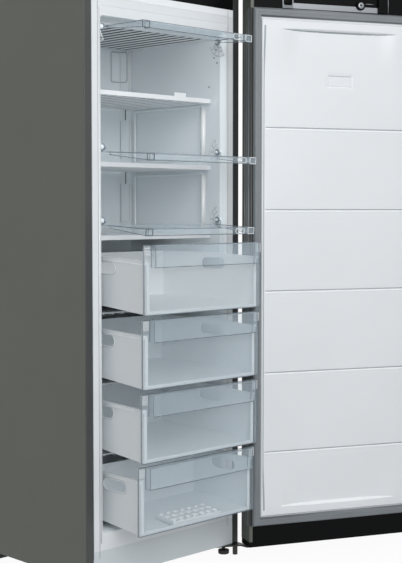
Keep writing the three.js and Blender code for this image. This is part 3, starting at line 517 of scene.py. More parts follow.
def place_sheet(mesh, wall, body, node):
    """Makes a thin white moulding from a sheet, in place of the solid that it refines."""
    mesh.shade_smooth()
    made = bpy.data.objects.new(mesh.name, mesh)
    bpy.context.scene.collection.objects.link(made)
    thicken = made.modifiers.new("wall", "SOLIDIFY")
    thicken.thickness = wall * MM
    thicken.offset = -1.0
    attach(made, body)
    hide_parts(node)


def arc(u, v, radius, start, end, steps):
    """Points of an arc, in degrees."""
    angles = [math.radians(start + (end - start) * i / steps) for i in range(steps + 1)]
    return [(u + radius * math.cos(a), v + radius * math.sin(a)) for a in angles]


def rounded(us, vs, radius, steps=6):
    """The outline of a rectangle with round corners."""
    return [
        *arc(us[1] - radius, vs[1] - radius, radius, 0, 90, steps),
        *arc(us[0] + radius, vs[1] - radius, radius, 90, 180, steps),
        *arc(us[0] + radius, vs[0] + radius, radius, 180, 270, steps),
        *arc(us[1] - radius, vs[0] + radius, radius, 270, 360, steps),
    ]


def bead(width, rise, steps=6):
    """The profile of a low rounded moulding."""
    shares = [i / steps for i in range(steps + 1)]
    crown = [(width * (share - 0.5), rise * math.sin(math.pi * share)) for share in shares]
    return [*crown, (width / 2, -0.3), (-width / 2, -0.3)]


# ---------------------------------------------------------------- evaporator and shelves

TUBE_DEPTH = 0.8
TUBE_NOSE = ((0.55, 0.0), (0.9, 1.2), (1.0, 3.5))


def limits(node):
    """A node's box in the cabinet's millimetres."""
    low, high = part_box(node)
    shift = Vector((0, CABINET_DEPTH / 2, 0))
    return low / MM + shift, high / MM + shift


def flat_tube(shape, x, half, ys, zs):
    """A flattened tube from front to back, with softly rounded edges and closed noses."""
    rise = zs[1] - zs[0]
    section = rounded((-half, half), (0, rise), min(2.5, rise / 2), 3)
    stations = [(share, ys[0] + inset) for share, inset in TUBE_NOSE]
    stations += [(share, ys[1] - inset) for share, inset in TUBE_NOSE[::-1]]
    rings = [[(x + u * k, y, zs[1] - (rise - v) * k) for u, v in section] for k, y in stations]
    shape.rings(rings)


def ribbed_plate(node, count, gap, finish):
    """A plate with flattened tubes on its underside: painted shade in the gaps between them and painted light on
    the tubes.
    """
    low, high = limits(node)
    pitch = (high.x - low.x) / count
    under = low.z + TUBE_DEPTH
    top = Shape().block((low.x, high.x), (low.y, high.y), (under, high.z))
    top.make(f"{node}_plate", "cabinet", finish, "white_plastic", 0.8, (node,))
    gaps, tubes = Shape(), Shape()
    gap_half = gap / 2 + 0.6
    for i in range(1, count):
        x = low.x + pitch * i
        gaps.block((x - gap_half, x + gap_half), (low.y + 3, high.y - 2), (under - 0.3, under + 0.2))
    for i in range(count):
        x = low.x + pitch * (i + 0.5)
        flat_tube(tubes, x, (pitch - gap) / 2, (low.y + 1, high.y - 1), (low.z, under + 0.3))
    gaps.make(f"{node}_gaps", "cabinet", "gap_shade_and_dark_grey", "white_plastic")
    # the tubes are painted light, lighter than the liner
    tubes.make(f"{node}_tubes", "cabinet", "liner_lit", "white_plastic")


ribbed_plate("ceiling_evaporator", 14, 16.0, "white_plastic")
for level in ("upper", "middle", "lower"):
    ribbed_plate(f"shelf_{level}", 13, 9.0, "liner_plastic")

# ---------------------------------------------------------------- mouldings of the inner liner

WALL = 232.0
BACK = 445.0
HOUSING = {"left": 175, "right": 210, "bottom": 1421, "top": 1516}
HOUSING_CORNER = ((210.8, 440.4), (220.0, 425.2), (222.0, 421.9))
SHELF_HEIGHT = {"middle": 1140, "lower": 937}
PANEL = {"front": 88, "back": 397, "bottom": 24, "top": 186, "corner": 9}
PANEL_RIM = (9, 3.4)
LEDGE = ((-0.4, 76), (3.8, 93), (-0.4, 98))
COVER_LEVELS = ((976, 1097), (1178, 1300), (1380, 1517))
COVER_SECTION = ((211.6, 446.0), (210.6, 440.5), (227.0, 413.6), (233.0, 414.6))
COVER_MIDDLE = (221.8, 429.8)
COVER_EDGE = (229.0, 412.4)
COVER_SHADE_LINES = ((225.6, 416.2), (210.4, 440.8))
SEAM_LENGTH = 40
STUDS = ((32, 1488), (40, 1465), (27.5, 1449.5), (61, 1381))
FRAME_BEAD = {"x": 245, "zs": (100, 1556), "width": 6.0, "rise": 1.2}
FRAME_SEAM = {"xs": (249.4, 270.5), "width": 1.7, "zs": (60, 1600)}


def wall_panel_rims():
    """The raised rims round the sunk fields of the side walls, and their front ledges in painted light."""
    for level, height in SHELF_HEIGHT.items():
        zs = (height + PANEL["bottom"], height + PANEL["top"])
        outline = rounded((PANEL["front"], PANEL["back"]), zs, PANEL["corner"])
        rims, ledges = Shape(), Shape()
        for side in (-1, 1):
            path = [(side * (WALL + 0.4), y, z) for y, z in outline]
            rims.sweep(path, (-side, 0, 0), bead(*PANEL_RIM), closed=True)
            section = [(side * (WALL - inset), y) for inset, y in LEDGE]
            ledges.prism("z", section, zs[0] + 4, zs[1] - 4)
        rims.make(f"wall_rims_{level}", "cabinet", "liner_plastic", "white_plastic")
        ledges.make(f"wall_ledges_{level}", "cabinet", "liner_lit", "white_plastic")


def mirrored(outline, low, high):
    """An outline that starts at the lower end of an upright form, carried on to its upper end."""
    return outline + [(*place, low + high - z) for *place, z in outline[::-1]]


def back_wall():
    """The raised housing in the back wall's upper corner, and the seam round it."""
    left, right, low, high = HOUSING.values()
    lower_half = [(right, low), (left + 5, low), (left + 1, low + 1.5), (left, low + 6)]
    outline = mirrored(lower_half, low, high)
    seam = Shape().wire([(x, BACK + 0.1, z) for x, z in outline], (0, -1, 0), 2.4)
    heights = (low, low, low + 6)
    turned = [(x, y, z) for (x, y), z in zip(HOUSING_CORNER, heights)]
    seam.wire(mirrored(turned, low, high), (-0.85, -0.52, 0), 2.4)
    seam.make("back_wall_seam", "cabinet", "liner_shade", "white_plastic")
    outline = rounded((left + 3, right), (low + 3, high - 3), 5)
    housing = Shape().prism("y", outline, BACK - 2.5, BACK + 0.5)
    housing.make("back_wall_housing", "cabinet", "liner_plastic", "white_plastic", 1.0)


def corner_covers():
    """The covers in the liner's back corners, with their edges in painted light, lines of painted shade beside
    them and the seams between them.
    """
    covers, seams, edges, lines = Shape(), Shape(), Shape(), Shape()
    for side in (-1, 1):
        middle = (side * COVER_MIDDLE[0], COVER_MIDDLE[1], 0)
        for low, high in COVER_LEVELS:
            covers.prism("z", [(side * x, y) for x, y in COVER_SECTION], low, high)
            x, y = COVER_EDGE
            edges.wire([(side * x, y, z) for z in (low, high)], (-side * 0.9, -0.43, 0), 3.4)
            below_housing = high < HOUSING["bottom"]
            if below_housing:
                seams.turned([(1.3, high + 1), (1.3, high + SEAM_LENGTH)], middle, "z", 10)
            for x, y in COVER_SHADE_LINES if below_housing else COVER_SHADE_LINES[:1]:
                lines.wire([(side * x, y, z) for z in (low, high)], (-side * 0.8, -0.6, 0), 1.1)
    edges.make("corner_edge_highlights", "cabinet", "liner_lit", "white_plastic")
    lines.make("corner_shade_lines", "cabinet", "liner_shade", "white_plastic")
    covers.make("corner_covers", "cabinet", "liner_plastic", "white_plastic", 1.0)
    seams.make("corner_seams", "cabinet", "gap_shade_and_dark_grey", "white_plastic")


def wall_studs():
    """The dark studs on the side walls near the front."""
    studs = Shape()
    for side in (-1, 1):
        profile = [(2.6, 0), (2.6, -side * 1.2), (1.8, -side * 1.9)]
        for y, z in STUDS:
            studs.turned(profile, (side * (WALL + 0.3), y, z), "x", 14)
    studs.make("wall_studs", "cabinet", "gap_shade_and_dark_grey", "white_plastic")


def frame_beads():
    """Low upright mouldings and fine seams down both sides of the front frame."""
    beads, seams = Shape(), Shape()
    for side in (-1, 1):
        path = [(side * FRAME_BEAD["x"], 0.15, z) for z in FRAME_BEAD["zs"]]
        beads.sweep(path, (0, -1, 0), bead(FRAME_BEAD["width"], FRAME_BEAD["rise"]))
        for x in FRAME_SEAM["xs"]:
            xs = sorted((side * x, side * (x + FRAME_SEAM["width"])))
            seams.block(xs, (-0.12, 0.2), FRAME_SEAM["zs"])
    beads.make("frame_beads", "cabinet", "frame_plastic", "white_plastic")
    seams.make("frame_seams", "cabinet", "liner_shade", "white_plastic")


wall_panel_rims()
back_wall()
corner_covers()
wall_studs()
frame_beads()

# ---------------------------------------------------------------- door liner

DOOR_INNER = -12.3
LINER_PLATE = ((-283.2, 287.2), (67.3, 1604.7))
LINER_WALL = 2.0
BORDER_HALF = 264.2
BORDER_ENDS = (96.5, 1573.8)
BORDER_RISE = 6.0
PANEL_DROP = 11.0
PANEL_RAMP = 170
SCOOP = {"middle": 8.0, "half": 196.0, "start": 26.0, "lead": 4.0, "width": 10.0, "fade": 70}
GROOVES = (1257.5, 1014.5, 772.5, 527.5, 288.0)
GROOVE = {"depth": 2.4, "width": 1.6, "lip": 1.3, "lip_width": 2.0, "lip_drop": 4.0}
GROOVE_HALF = 243
EMBOSSED = ((-32.5, 43.5), (1385.0, 1414.0))
EMBOSSED_RISE = 1.2
EMBOSSED_MOAT = 1.6
# the door liner's own finish, then its painted shade and painted light
LINER_FINISHES = ("door_panel", "liner_shade", "liner_lit")
PLAIN, SHADED, LIT = range(3)


def smooth(value):
    """Eases from 0 to 1 without a kink at either end."""
    value = min(1.0, max(0.0, value))
    return value * value * (3 - 2 * value)


def hump(distance, width):
    """A bell-shaped rise round a place."""
    return math.exp(-((distance / width) ** 2))


def spaced(start, end, coarse, fine, stretches):
    """Steps from start to end, fine within each stretch, a middle and its reach, else coarse."""
    steps = [start]
    while steps[-1] < end:
        here = steps[-1] + 0.01
        near = any(abs(here - middle) <= reach for middle, reach in stretches)
        ahead = [middle - reach for middle, reach in stretches if middle - reach > here]
        steps.append(min([end, here + fine if near else here + coarse, *ahead]))
    return steps


def scoop_depth(x, end):
    """How far through the bowed step at the panel's ends a point lies, from 0 to 1."""
    bow = max(0.0, 1 - ((x - SCOOP["middle"]) / SCOOP["half"]) ** 2)
    return (end - SCOOP["start"] + SCOOP["lead"] * bow) / (1.5 + SCOOP["width"] * bow)


def groove_depth(z):
    """How deep the cross grooves lie at a height; below each one a low lip stands out."""
    cuts = sum(hump(z - groove, GROOVE["width"]) for groove in GROOVES)
    lips = sum(hump(z - groove + GROOVE["lip_drop"], GROOVE["lip_width"]) for groove in GROOVES)
    return GROOVE["depth"] * cuts - GROOVE["lip"] * lips


def door_panel_face(x, z):
    """How far the door liner's face stands towards the cabinet at a point."""
    side = BORDER_HALF - abs(x)
    end = min(z - BORDER_ENDS[0], BORDER_ENDS[1] - z)
    rise = BORDER_RISE * smooth(min(side, end) / 1.8)
    fade = smooth((SCOOP["half"] - abs(x - SCOOP["middle"])) / SCOOP["fade"])
    scoop = smooth(scoop_depth(x, end)) * fade
    ramp = smooth((end - 12) / PANEL_RAMP)
    drop = PANEL_DROP * smooth((side - 5.5) / 3) * (ramp + (1 - ramp) * scoop)
    field = smooth((GROOVE_HALF + 2 - abs(x)) / 16)
    (x0, x1), (z0, z1) = EMBOSSED
    inside = min(x - x0, x1 - x, z - z0, z1 - z)
    embossed = EMBOSSED_RISE * smooth((inside + 1.0) / 1.8) - EMBOSSED_MOAT * hump(inside + 1.5, 1.3)
    return DOOR_INNER + rise - drop - field * groove_depth(z) + embossed


def door_panel_tone(x, z):
    """Which finish the liner has at a point: painted shade in the grooves, along the rectangle's top edge, in the
    upper bowed step and at the border's foot; painted light on the lips, along the rectangle's lower edge and in
    the lower bowed step.
    """
    (x0, x1), (z0, z1) = EMBOSSED
    if abs(x) < GROOVE_HALF:
        for groove in GROOVES:
            if abs(z - groove) < 1.5:
                return SHADED
            if -5.4 < z - groove < -2.2:
                return LIT
    if x0 < x < x1:
        if abs(z - z1 - 1) < 1.1:
            return SHADED
        if abs(z - z0 + 1) < 1.1:
            return LIT
    low, high = z - BORDER_ENDS[0], BORDER_ENDS[1] - z
    if abs(x - SCOOP["middle"]) < SCOOP["half"] - 8:
        if 0.1 < scoop_depth(x, low) < 0.8:
            return LIT
        if 0.55 < scoop_depth(x, high) < 0.95:
            return SHADED
    at_foot = 8.0 < BORDER_HALF - abs(x) < 13.4
    return SHADED if at_foot and min(low, high) > 14 else PLAIN


def door_liner():
    """The door's inner face as one sheet: border, sunk panel, bowed steps, grooves and rectangle."""
    (x0, x1), (z0, z1) = LINER_PLATE
    border_feet = [(side * (BORDER_HALF - 6.5), 8.5) for side in (-1, 1)]
    border_ends = [(end, 3.0) for end in BORDER_ENDS]
    steps = [(BORDER_ENDS[0] + 29, 10.0), (BORDER_ENDS[1] - 29, 10.0)]
    grooves = [(z - 1.5, 7.0) for z in GROOVES]
    xs = spaced(x0, x1, 10.0, 0.9, border_feet + [(x, 3.5) for x in EMBOSSED[0]])
    zs = spaced(z0, z1, 14.0, 0.9, border_ends + steps + grooves + [(z, 3.5) for z in EMBOSSED[1]])
    width = len(xs)
    faces, tones = [], []
    for r in range(len(zs) - 1):
        for c in range(width - 1):
            i = r * width + c
            faces.append((i + width, i + width + 1, i + 1, i))
            tones.append(door_panel_tone((xs[c] + xs[c + 1]) / 2, (zs[r] + zs[r + 1]) / 2))
    mesh = bpy.data.meshes.new("door_liner_shell")
    mesh.from_pydata([in_frame((x, door_panel_face(x, z), z)) for z in zs for x in xs], [], faces)
    mesh.transform(door_place)
    for name in LINER_FINISHES:
        mesh.materials.append(FINISH[name])
    mesh.polygons.foreach_set("material_index", tones)
    place_sheet(mesh, LINER_WALL, "door", "door_liner")


# ---------------------------------------------------------------- gasket and foam of the door

GASKET_RECT = ((-289.5, 289.5), (67.5, 1604.8))
GASKET_PROFILE = (
    (0, 0.3), (0, 2.6), (-1.6, 3.6), (-1.2, 5.2), (-3.0, 6.2), (-2.6, 8.0), (-4.2, 9.4), (-6.5, 11.2),
    (-9.5, 11.9), (-12.5, 11.4), (-13.3, 10.2), (-14.1, 11.4), (-17.0, 11.9), (-20.2, 11.2),
    (-22.2, 9.4), (-21.4, 7.4), (-23.2, 6.0), (-22.6, 4.4), (-25.0, 3.0), (-25.0, 0.3),
)
FOAM_BODY = ((-281, 293), (-76, -38), (21, 1683.5))
FOAM_FRONT = -16
FOAM_SIDES = ((-280, -257), (257, 290))
FOAM_ENDS = ((74, 103), (1567, 1598))


def gasket():
    """The bellows seal: one soft profile round the door, mitred at its corners."""
    (x0, x1), (z0, z1) = GASKET_RECT
    path = [(x, DOOR_INNER, z) for x, z in ((x0, z0), (x1, z0), (x1, z1), (x0, z1))]
    seal = Shape().sweep(path, (0, 1, 0), GASKET_PROFILE, closed=True)
    replaced = ("door_gasket",)
    made = seal.make("gasket_bellows", "door", "grey_rubber", "grey_rubber", 0, replaced, door=True)
    crease = made.modifiers.new("normals", "WEIGHTED_NORMAL")
    crease.keep_sharp = True


def door_foam():
    """The foam body with its raised border, clear of the sunk panel."""
    foam = Shape().block(*FOAM_BODY)
    border = (FOAM_BODY[1][1], FOAM_FRONT)
    for xs in FOAM_SIDES:
        foam.block(xs, border, (FOAM_ENDS[0][0], FOAM_ENDS[1][1]))
    for zs in FOAM_ENDS:
        foam.block((FOAM_SIDES[0][1], FOAM_SIDES[1][0]), border, zs)
    foam.make("door_foam", "door", "foam", "foam", 0.8, ("door_insulation",), door=True)


# ---------------------------------------------------------------- fittings of the door

STRIP_END = ((163, 198), (1608, 1638))
STRIP_FACE = -8.9
SCREW = (-58, 1628)
SCREW_FACE = -3.6
BRACKET = ((-149.6, -117.6), (1608, 1670))
BRACKET_FACE = -3.9
BAND_LINE = {"half": 289, "y": -11.6, "z": 1605.6}
RAIL_LINE = {"y": -9.6, "z": 1634}
HEM = {"x": 297.4, "zs": (68, 1604), "lines": ((-22, 1.8), (-29, 4.0), (-45, 2.4), (-58, 2.4))}
CHANNEL = {"xs": (289.8, 297.2), "ys": (-12.6, -11.7), "slots": (-15, -19.5)}


def door_band_details():
    """The fittings on the door's black upper band, in the closed door's place."""
    lit, dark = Shape(), Shape()
    facing = (0, 1, 0)
    (x0, x1), (z0, z1) = STRIP_END
    corners = ((x0 + 1, z0 + 1), (x1 - 1, z0 + 1), (x1 - 1, z1 - 1), (x0 + 1, z1 - 1))
    lit.wire([(x, STRIP_FACE, z) for x, z in corners], facing, 2.0, closed=True)
    socket = rounded((x0 + 4, x1 - 4), (z0 + 9, z1 - 2), 4)
    dark.prism("y", socket, STRIP_FACE - 0.3, STRIP_FACE + 0.3)
    x, z = SCREW
    head = [(9.5, SCREW_FACE - 1.1), (9.5, SCREW_FACE - 0.5), (8.0, SCREW_FACE)]
    lit.turned(head, (x, 0, z), "y", 28)
    dark.turned([(3.2, SCREW_FACE - 0.2), (3.2, SCREW_FACE + 0.2)], (x + 1.5, 0, z + 1), "y", 16)
    (x0, x1), (z0, z1) = BRACKET
    lit.wire([(x0 + 0.8, BRACKET_FACE, z) for z in (z0 + 1, z1 - 2)], facing, 2.0)
    lit.wire([(end, RAIL_LINE["y"], RAIL_LINE["z"]) for end in (x1 + 3, x - 16)], facing, 1.8)
    half = BAND_LINE["half"]
    lit.wire([(end, BAND_LINE["y"], BAND_LINE["z"]) for end in (-half, half)], facing, 1.6)
    lit.make("door_band_trims", "door", "steel", "steel", door=True)
    dark.make("door_band_sockets", "door", "black_plastic", "black_plastic", door=True)


def door_edge_details():
    """The folded hem on the hinge side and the dark channel that holds the seal."""
    hem, channel = Shape(), Shape()
    for y, width in HEM["lines"]:
        hem.wire([(HEM["x"], y, z) for z in HEM["zs"]], (1, 0, 0), width)
    channel.block(CHANNEL["xs"], CHANNEL["ys"], HEM["zs"])
    for y in CHANNEL["slots"]:
        channel.block((HEM["x"] - 0.6, HEM["x"] + 0.3), (y - 1, y + 1), HEM["zs"])
    hem.make("door_hem", "door", "steel", "steel", door=True)
    channel.make("door_channel", "door", "flange_steel", "black_plastic", door=True)


door_liner()
gasket()
door_foam()
door_band_details()
door_edge_details()

# ---------------------------------------------------------------- flaps

FLAP = {"half": 209.0, "ear": 222.6, "lip": 19.5, "shoulder": 14.0, "grip": 184.2}
PIN = {"ring": 9.0, "hub": 5.6}
FINGER_HOLE = {"xs": (134, 170), "corner": 7}
FLAP_SEATS = {
    "top": {"rise": 4.0, "droop": 0.0, "guide": -118},
    "middle": {"rise": -12.0, "droop": 3.0, "guide": -30},
    "lower": {"rise": -12.0, "droop": 3.0, "guide": -30},
}
GUIDE = {"x": 231.9, "radii": (14, 26, 40), "sweep": 105, "teeth": (6, 34, 62, 90)}


def flap_pin(name):
    """The middle of a flap's pins."""
    high = limits(f"flap_{name}")[1]
    return Vector((0, high.y - PIN["ring"], high.z - PIN["ring"]))


def flap_painted_lines(name, rise, droop):
    """The thickened edges of a clear flap, its grip boxes and the rings round its pins, in painted shade, with
    painted light on the right-hand grip box and round the finger hole.
    """
    turn = Matrix.Rotation(math.radians(droop), 3, "X")
    pin = flap_pin(name)
    level = pin.y - limits(f"flap_{name}")[0].y - rise * math.sin(math.radians(droop))
    reach = level / math.cos(math.radians(droop))
    dark, lit = Shape(), Shape()

    def line(path, normal, width, closed=False, shape=dark):
        shape.wire([turn @ Vector(point) + pin for point in path], turn @ Vector(normal), width, closed)

    half, front, back = FLAP["half"] - 1, 1 - reach, -FLAP["shoulder"]
    top, foot = rise - 1, rise - FLAP["lip"] + 1
    box_back = front + FLAP["lip"] - 2
    outline = ((-half, foot), (half, foot), (half, top), (-half, top))
    line([(x, front, z) for x, z in outline], (0, -1, 0), 2.2, True)
    for side in (-1, 1):
        x, box_x, ear = side * half, side * FLAP["grip"], side * (FLAP["ear"] - 2)
        # the grip box on the right lies against the dark and is painted light, the one on the left painted shade
        bright = lit if side > 0 else dark
        outwards = (side, 0, 0)
        line([(x, front, foot), (x, back, rise - 8)], outwards, 1.8)
        line([(x, front, top), (x, back, top), (x, -6, top)], outwards, 2.2)
        box_side = ((front, foot), (box_back, foot), (box_back, top), (front, top))
        line([(box_x, y, z) for y, z in box_side], outwards, 2.4, True, bright)
        line([(box_x, box_back, top), (x, box_back, top)], (0, 0, 1), 1.8, False, bright)
        box_front = ((box_x, foot), (x, foot), (x, top), (box_x, top))
        line([(u, front - 0.8, z) for u, z in box_front], (0, -1, 0), 2.6, True, bright)
        for radius in (PIN["ring"] - 1.2, PIN["hub"]):
            line([(ear, y, z) for y, z in arc(0, 0, radius, 0, 345, 23)], outwards, 1.6, True)
        line([(x, back, top), (ear, back, top)], (0, 0, 1), 1.8)
    # the finger hole's outline is painted light
    hole = rounded(FINGER_HOLE["xs"], (foot + 1.5, top - 1.5), FINGER_HOLE["corner"], 4)
    line([(x, front - 0.8, z) for x, z in hole], (0, -1, 0), 2.4, True, lit)
    dark.make(f"flap_painted_lines_{name}", f"flap_{name}", "clear_shade_line", "clear_plastic")
    lit.make(f"flap_lit_ends_{name}", f"flap_{name}", "clear_lit", "clear_plastic")


def flap_guides(name, guide):
    """The arcs with spokes on the side walls, round a flap's pins, that start at a guide angle."""
    _, y, z = flap_pin(name)
    inner, outer = GUIDE["radii"][0], GUIDE["radii"][-1]
    guides = Shape()
    for side in (-1, 1):
        x = side * GUIDE["x"]
        for radius in GUIDE["radii"]:
            curve = arc(y, z, radius, guide, guide + GUIDE["sweep"], 14)
            guides.wire([(x, *place) for place in curve], (-side, 0, 0), 3.0)
        for tooth in GUIDE["teeth"]:
            spoke = [arc(y, z, radius, guide + tooth, guide + tooth, 1)[0] for radius in (inner, outer)]
            guides.wire([(x, *place) for place in spoke], (-side, 0, 0), 2.6)
    guides.make(f"flap_guides_{name}", "cabinet", "clear_lit", "clear_plastic")


for name, seat in FLAP_SEATS.items():
    flap_painted_lines(name, seat["rise"], seat["droop"])
    flap_guides(name, seat["guide"])

# ---------------------------------------------------------------- drawers

TUB_HALF = 212.0
STEP_OUT = 20
RIM_HEIGHT = 154.0
RIM_SECTION = (
    (0, -0.3), (2.4, 0.2), (2.8, 1.4), (2.8, 7.6), (2.2, 9.0), (0, 9.6), (-0.3, 9.6), (-0.3, -0.3),
)
SLOT = {"half": 49, "height": 16.4, "below_rim": 31.5}
FRONT = {"half": 224.9, "height": 186.9, "window": 199, "band": 128}
CLIP = {"x": 224.5, "pitch": 4.6, "width": 1.5, "count": 5, "bars": (162, 170, 178)}
CLIP_SECTION = ((-2.2, 160), (0.2, 157), (0.2, 186), (-2.2, 184))
DRAWERS = {
    "top": {"depth": 398, "slot": 178, "drop": 8},
    "upper": {"depth": 398, "slot": 178, "drop": 8},
    "lower": {"depth": 398, "slot": 178, "drop": 8},
    "bottom": {"depth": 236, "slot": 112, "drop": 0},
}


def slot_outline(middle, half, height):
    """A lying slot's outline with round ends, in y and z."""
    ys = (middle[0] - half, middle[0] + half)
    zs = (middle[1] - height, middle[1] + height)
    return rounded(ys, zs, height - 0.1, 8)


def drawer_rims(name, y0, z0, depth, slot, drop):
    """The rolled rim of a tub, the raised rim round the slot in each of its sides, and a line of painted shade
    round that rim.
    """
    rims, shades = Shape(), Shape()
    middle = (y0 + slot, z0 + RIM_HEIGHT - SLOT["below_rim"])
    stadium = slot_outline(middle, SLOT["half"], SLOT["height"])
    around = slot_outline(middle, SLOT["half"] + 2, SLOT["height"] + 1.8)
    stations = ((3.8, RIM_HEIGHT - drop), (180, RIM_HEIGHT), (depth, RIM_HEIGHT))
    for side in (-1, 1):
        face = side * (TUB_HALF - 0.1)
        section = [(face + side * u, z0 - 3 - v) for u, v in RIM_SECTION]
        rims.rings([[(x, y0 + along, z + height) for x, z in section] for along, height in stations])
        rims.sweep([(face, y, z) for y, z in stadium], (side, 0, 0), bead(3.4, 1.5, 5), closed=True)
        # a line of painted shade round the foot of the slot's rim
        shades.wire([(face, y, z) for y, z in around], (side, 0, 0), 1.3, True)
    rims.make(f"drawer_rims_{name}", f"drawer_{name}", "white_plastic", "white_plastic")
    shades.make(f"drawer_slot_shades_{name}", f"drawer_{name}", "liner_shade", "white_plastic")


def drawer_clips(name, y0, z0):
    """The ribbed clips that hold the clear front to the tub, at both upper corners."""
    clips = Shape()
    section = [(y0 + y, z0 + z) for y, z in CLIP_SECTION]
    inner = CLIP["x"] - CLIP["pitch"] * (CLIP["count"] - 1) - CLIP["width"]
    for side in (-1, 1):
        for i in range(CLIP["count"]):
            x = side * (CLIP["x"] - i * CLIP["pitch"])
            near, far = sorted((x, x - side * CLIP["width"]))
            clips.prism("x", section, near, far)
        for z in CLIP["bars"]:
            xs = sorted((side * CLIP["x"], side * inner))
            clips.block(xs, (y0 - 1.8, y0 + 0.2), (z0 + z, z0 + z + CLIP["width"]))
    clips.make(f"drawer_clips_{name}", f"drawer_{name}", "clear_lit", "clear_plastic", 0.4)


def drawer_shade_lines(name, y0, z0):
    """The edges of a clear front and of the step along its top, drawn as dark lines of painted shade."""
    lines = Shape()
    front, step = y0 - 0.6, y0 - STEP_OUT + 0.9
    half, top, band = FRONT["window"], FRONT["height"] + 0.1, FRONT["band"]
    outline = rounded((-FRONT["half"], FRONT["half"]), (z0 + 1.1, z0 + FRONT["height"]), 5, 3)
    lines.wire([(x, front, z) for x, z in outline], (0, -1, 0), 2.0, True)
    corners = ((-half, band), (half, band), (half, top), (-half, top))
    lines.wire([(x, step, z0 + z) for x, z in corners], (0, -1, 0), 1.9, True)
    for x, heights in ((-half, (top, band + 0.5)), (half, (band + 0.5, top))):
        lines.wire([(x, front, z0 + z) for z in heights], (0, -1, 0), 1.6)
    lines.make(f"drawer_shade_lines_{name}", f"drawer_{name}", "clear_shade_line", "clear_plastic")


for name, sizes in DRAWERS.items():
    low = limits(f"drawer_front_{name}")[0]
    face = (low.y + STEP_OUT, low.z)
    drawer_rims(name, *face, **sizes)
    drawer_clips(name, *face)
    drawer_shade_lines(name, *face)

# ---------------------------------------------------------------- ice tray

TRAY = {"x": 8, "width": 190, "depth": 80, "height": 14, "corner": 8, "wall": 1.2}
CELLS = {"columns": 7, "rows": 3}
POCKET = {"radius": 11.5, "slope": 5.0, "depth": 10.5}
TRAY_STEPS = (120, 52)
FLOOR_SLOPE = math.atan(16 / 176.7)


def tray_height(x, y):
    """The tray's upper face: a rounded rim with a grid of round pockets."""
    corner = TRAY["corner"]
    inward = [TRAY["width"] / 2 - abs(x), min(y, TRAY["depth"] - y)]
    reach = [max(0.0, corner - d) for d in inward]
    edge = corner - math.hypot(*reach) if all(reach) else min(inward)
    pitch = (TRAY["width"] / CELLS["columns"], TRAY["depth"] / CELLS["rows"])
    dx = (x + TRAY["width"] / 2) % pitch[0] - pitch[0] / 2
    dy = y % pitch[1] - pitch[1] / 2
    pocket = smooth((POCKET["radius"] - math.hypot(dx, dy)) / POCKET["slope"])
    return TRAY["height"] * smooth((edge + 0.4) / 3.2) - POCKET["depth"] * pocket * smooth(edge / 4)


def tray():
    """The ice tray as one sheet, which lies on the sloping floor of the lowest drawer."""
    low = limits("ice_tray")[0]
    turn = Matrix.Rotation(FLOOR_SLOPE, 3, "X")
    seat = Vector((TRAY["x"], low.y + TRAY["height"] * math.sin(FLOOR_SLOPE), low.z))
    columns, rows = TRAY_STEPS
    points = []
    for r in range(rows + 1):
        for c in range(columns + 1):
            x, y = TRAY["width"] * (c / columns - 0.5), TRAY["depth"] * r / rows
            points.append(in_frame(turn @ Vector((x, y, tray_height(x, y))) + seat))
    width = columns + 1
    corners = [r * width + c for r in range(rows) for c in range(columns)]
    mesh = bpy.data.meshes.new("ice_tray_cells")
    mesh.from_pydata(points, [], [(i, i + 1, i + width + 1, i + width) for i in corners])
    mesh.materials.append(FINISH["white_plastic"])
    place_sheet(mesh, TRAY["wall"], "drawer_bottom", "ice_tray")


tray()

# ---------------------------------------------------------------- camera and studio

PICTURE_HEIGHT = 563
FOCAL_PIXELS = 1217.6
SENSOR = 36.0
CAMERA_PLACE = Vector((-2.3595, -2.7986, 1.0148))
CAMERA_YAW = math.radians(44.536)
CAMERA_PITCH = math.radians(-3.3755)
FLOOR = cad_box[0].z
FLOOR_HALF = 14.0
FLOOR_GLOW = 0.95
SKY = (0.97, 0.985, 1.0, 1.0)
SKY_LEVEL = 0.28
# each lamp's place, target, size and power
LAMPS = {
    "key": ((-0.3, -2.6, 3.1), (0.2, 0.0, 1.4), (4.0, 2.4), 24.0),
    "front": ((-1.4, -2.9, 2.05), (0.0, 0.2, 1.4), (3.2, 2.4), 63.0),
    "left_fill": ((-4.0, 0.9, 1.3), (0.0, 0.0, 0.9), (2.6, 2.2), 8.3),
}


def add_camera():
    """The camera that sees the part as the photo does."""
    data = bpy.data.cameras.new("camera")
    data.sensor_width = SENSOR
    data.lens = FOCAL_PIXELS / PICTURE_HEIGHT * SENSOR
    camera = bpy.data.objects.new("camera", data)
    bpy.context.scene.collection.objects.link(camera)
    camera.location = CAMERA_PLACE
    camera.rotation_euler = (math.pi / 2 + CAMERA_PITCH, 0, -CAMERA_YAW)
    bpy.context.scene.camera = camera


def seen_directly(tree):
    """1 on rays from the camera, mirrors and clear pieces, and 0 on the rays that carry light."""
    path = add(tree, "ShaderNodeLightPath")
    seen = path.outputs["Is Camera Ray"]
    for kind in ("Is Glossy Ray", "Is Transmission Ray"):
        either = add(tree, "ShaderNodeMath", {0: seen, 1: path.outputs[kind]}, operation="MAXIMUM")
        seen = either.outputs[0]
    return seen


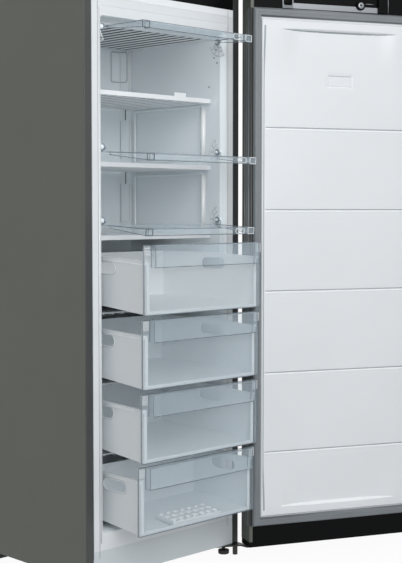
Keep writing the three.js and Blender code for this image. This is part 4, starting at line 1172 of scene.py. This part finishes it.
def add_world():
    """White where it is seen, and a soft, cool light for the part."""
    world = bpy.data.worlds.new("studio")
    bpy.context.scene.world = world
    world.use_nodes = True
    tree = world.node_tree
    sky = tree.nodes["Background"]
    sky.inputs["Color"].default_value = SKY
    sky.inputs["Strength"].default_value = SKY_LEVEL
    white = add(tree, "ShaderNodeBackground", {"Color": (1, 1, 1, 1), "Strength": 1.0})
    shares = {0: seen_directly(tree), 1: sky.outputs[0], 2: white.outputs[0]}
    mixed = add(tree, "ShaderNodeMixShader", shares)
    tree.links.new(mixed.outputs[0], tree.nodes["World Output"].inputs["Surface"])


def add_floor():
    """A pale floor under the part, which glows to white where it is seen and still takes shadows."""
    mesh = bpy.data.meshes.new("floor")
    corners = [(x * FLOOR_HALF, y * FLOOR_HALF, FLOOR) for x, y in ((-1, -1), (1, -1), (1, 1), (-1, 1))]
    mesh.from_pydata(corners, [], [(0, 1, 2, 3)])
    floor = bpy.data.objects.new("floor", mesh)
    bpy.context.scene.collection.objects.link(floor)
    material, tree, shader = start_material("floor")
    shader.inputs["Base Color"].default_value = (0.8, 0.8, 0.8, 1)
    shader.inputs["Roughness"].default_value = 0.9
    glow = add(tree, "ShaderNodeEmission", {"Color": (1, 1, 1, 1), "Strength": 1.0})
    seen = {0: seen_directly(tree), 1: FLOOR_GLOW}
    share = add(tree, "ShaderNodeMath", seen, operation="MULTIPLY")
    shares = {0: share.outputs[0], 1: shader.outputs[0], 2: glow.outputs[0]}
    mixed = add(tree, "ShaderNodeMixShader", shares)
    tree.links.new(mixed.outputs[0], tree.nodes["Material Output"].inputs["Surface"])
    mesh.materials.append(material)


def add_lamp(name, place, target, size, power):
    """A rectangular soft lamp turned to a target."""
    data = bpy.data.lights.new(name, "AREA")
    data.shape = "RECTANGLE"
    data.size, data.size_y = size
    data.energy = power
    lamp = bpy.data.objects.new(name, data)
    bpy.context.scene.collection.objects.link(lamp)
    lamp.location = place
    lamp.rotation_euler = (Vector(target) - Vector(place)).to_track_quat("-Z", "Y").to_euler()


add_camera()
add_world()
add_floor()
for name, settings in LAMPS.items():
    add_lamp(name, *settings)
bpy.context.scene.view_settings.view_transform = "Standard"
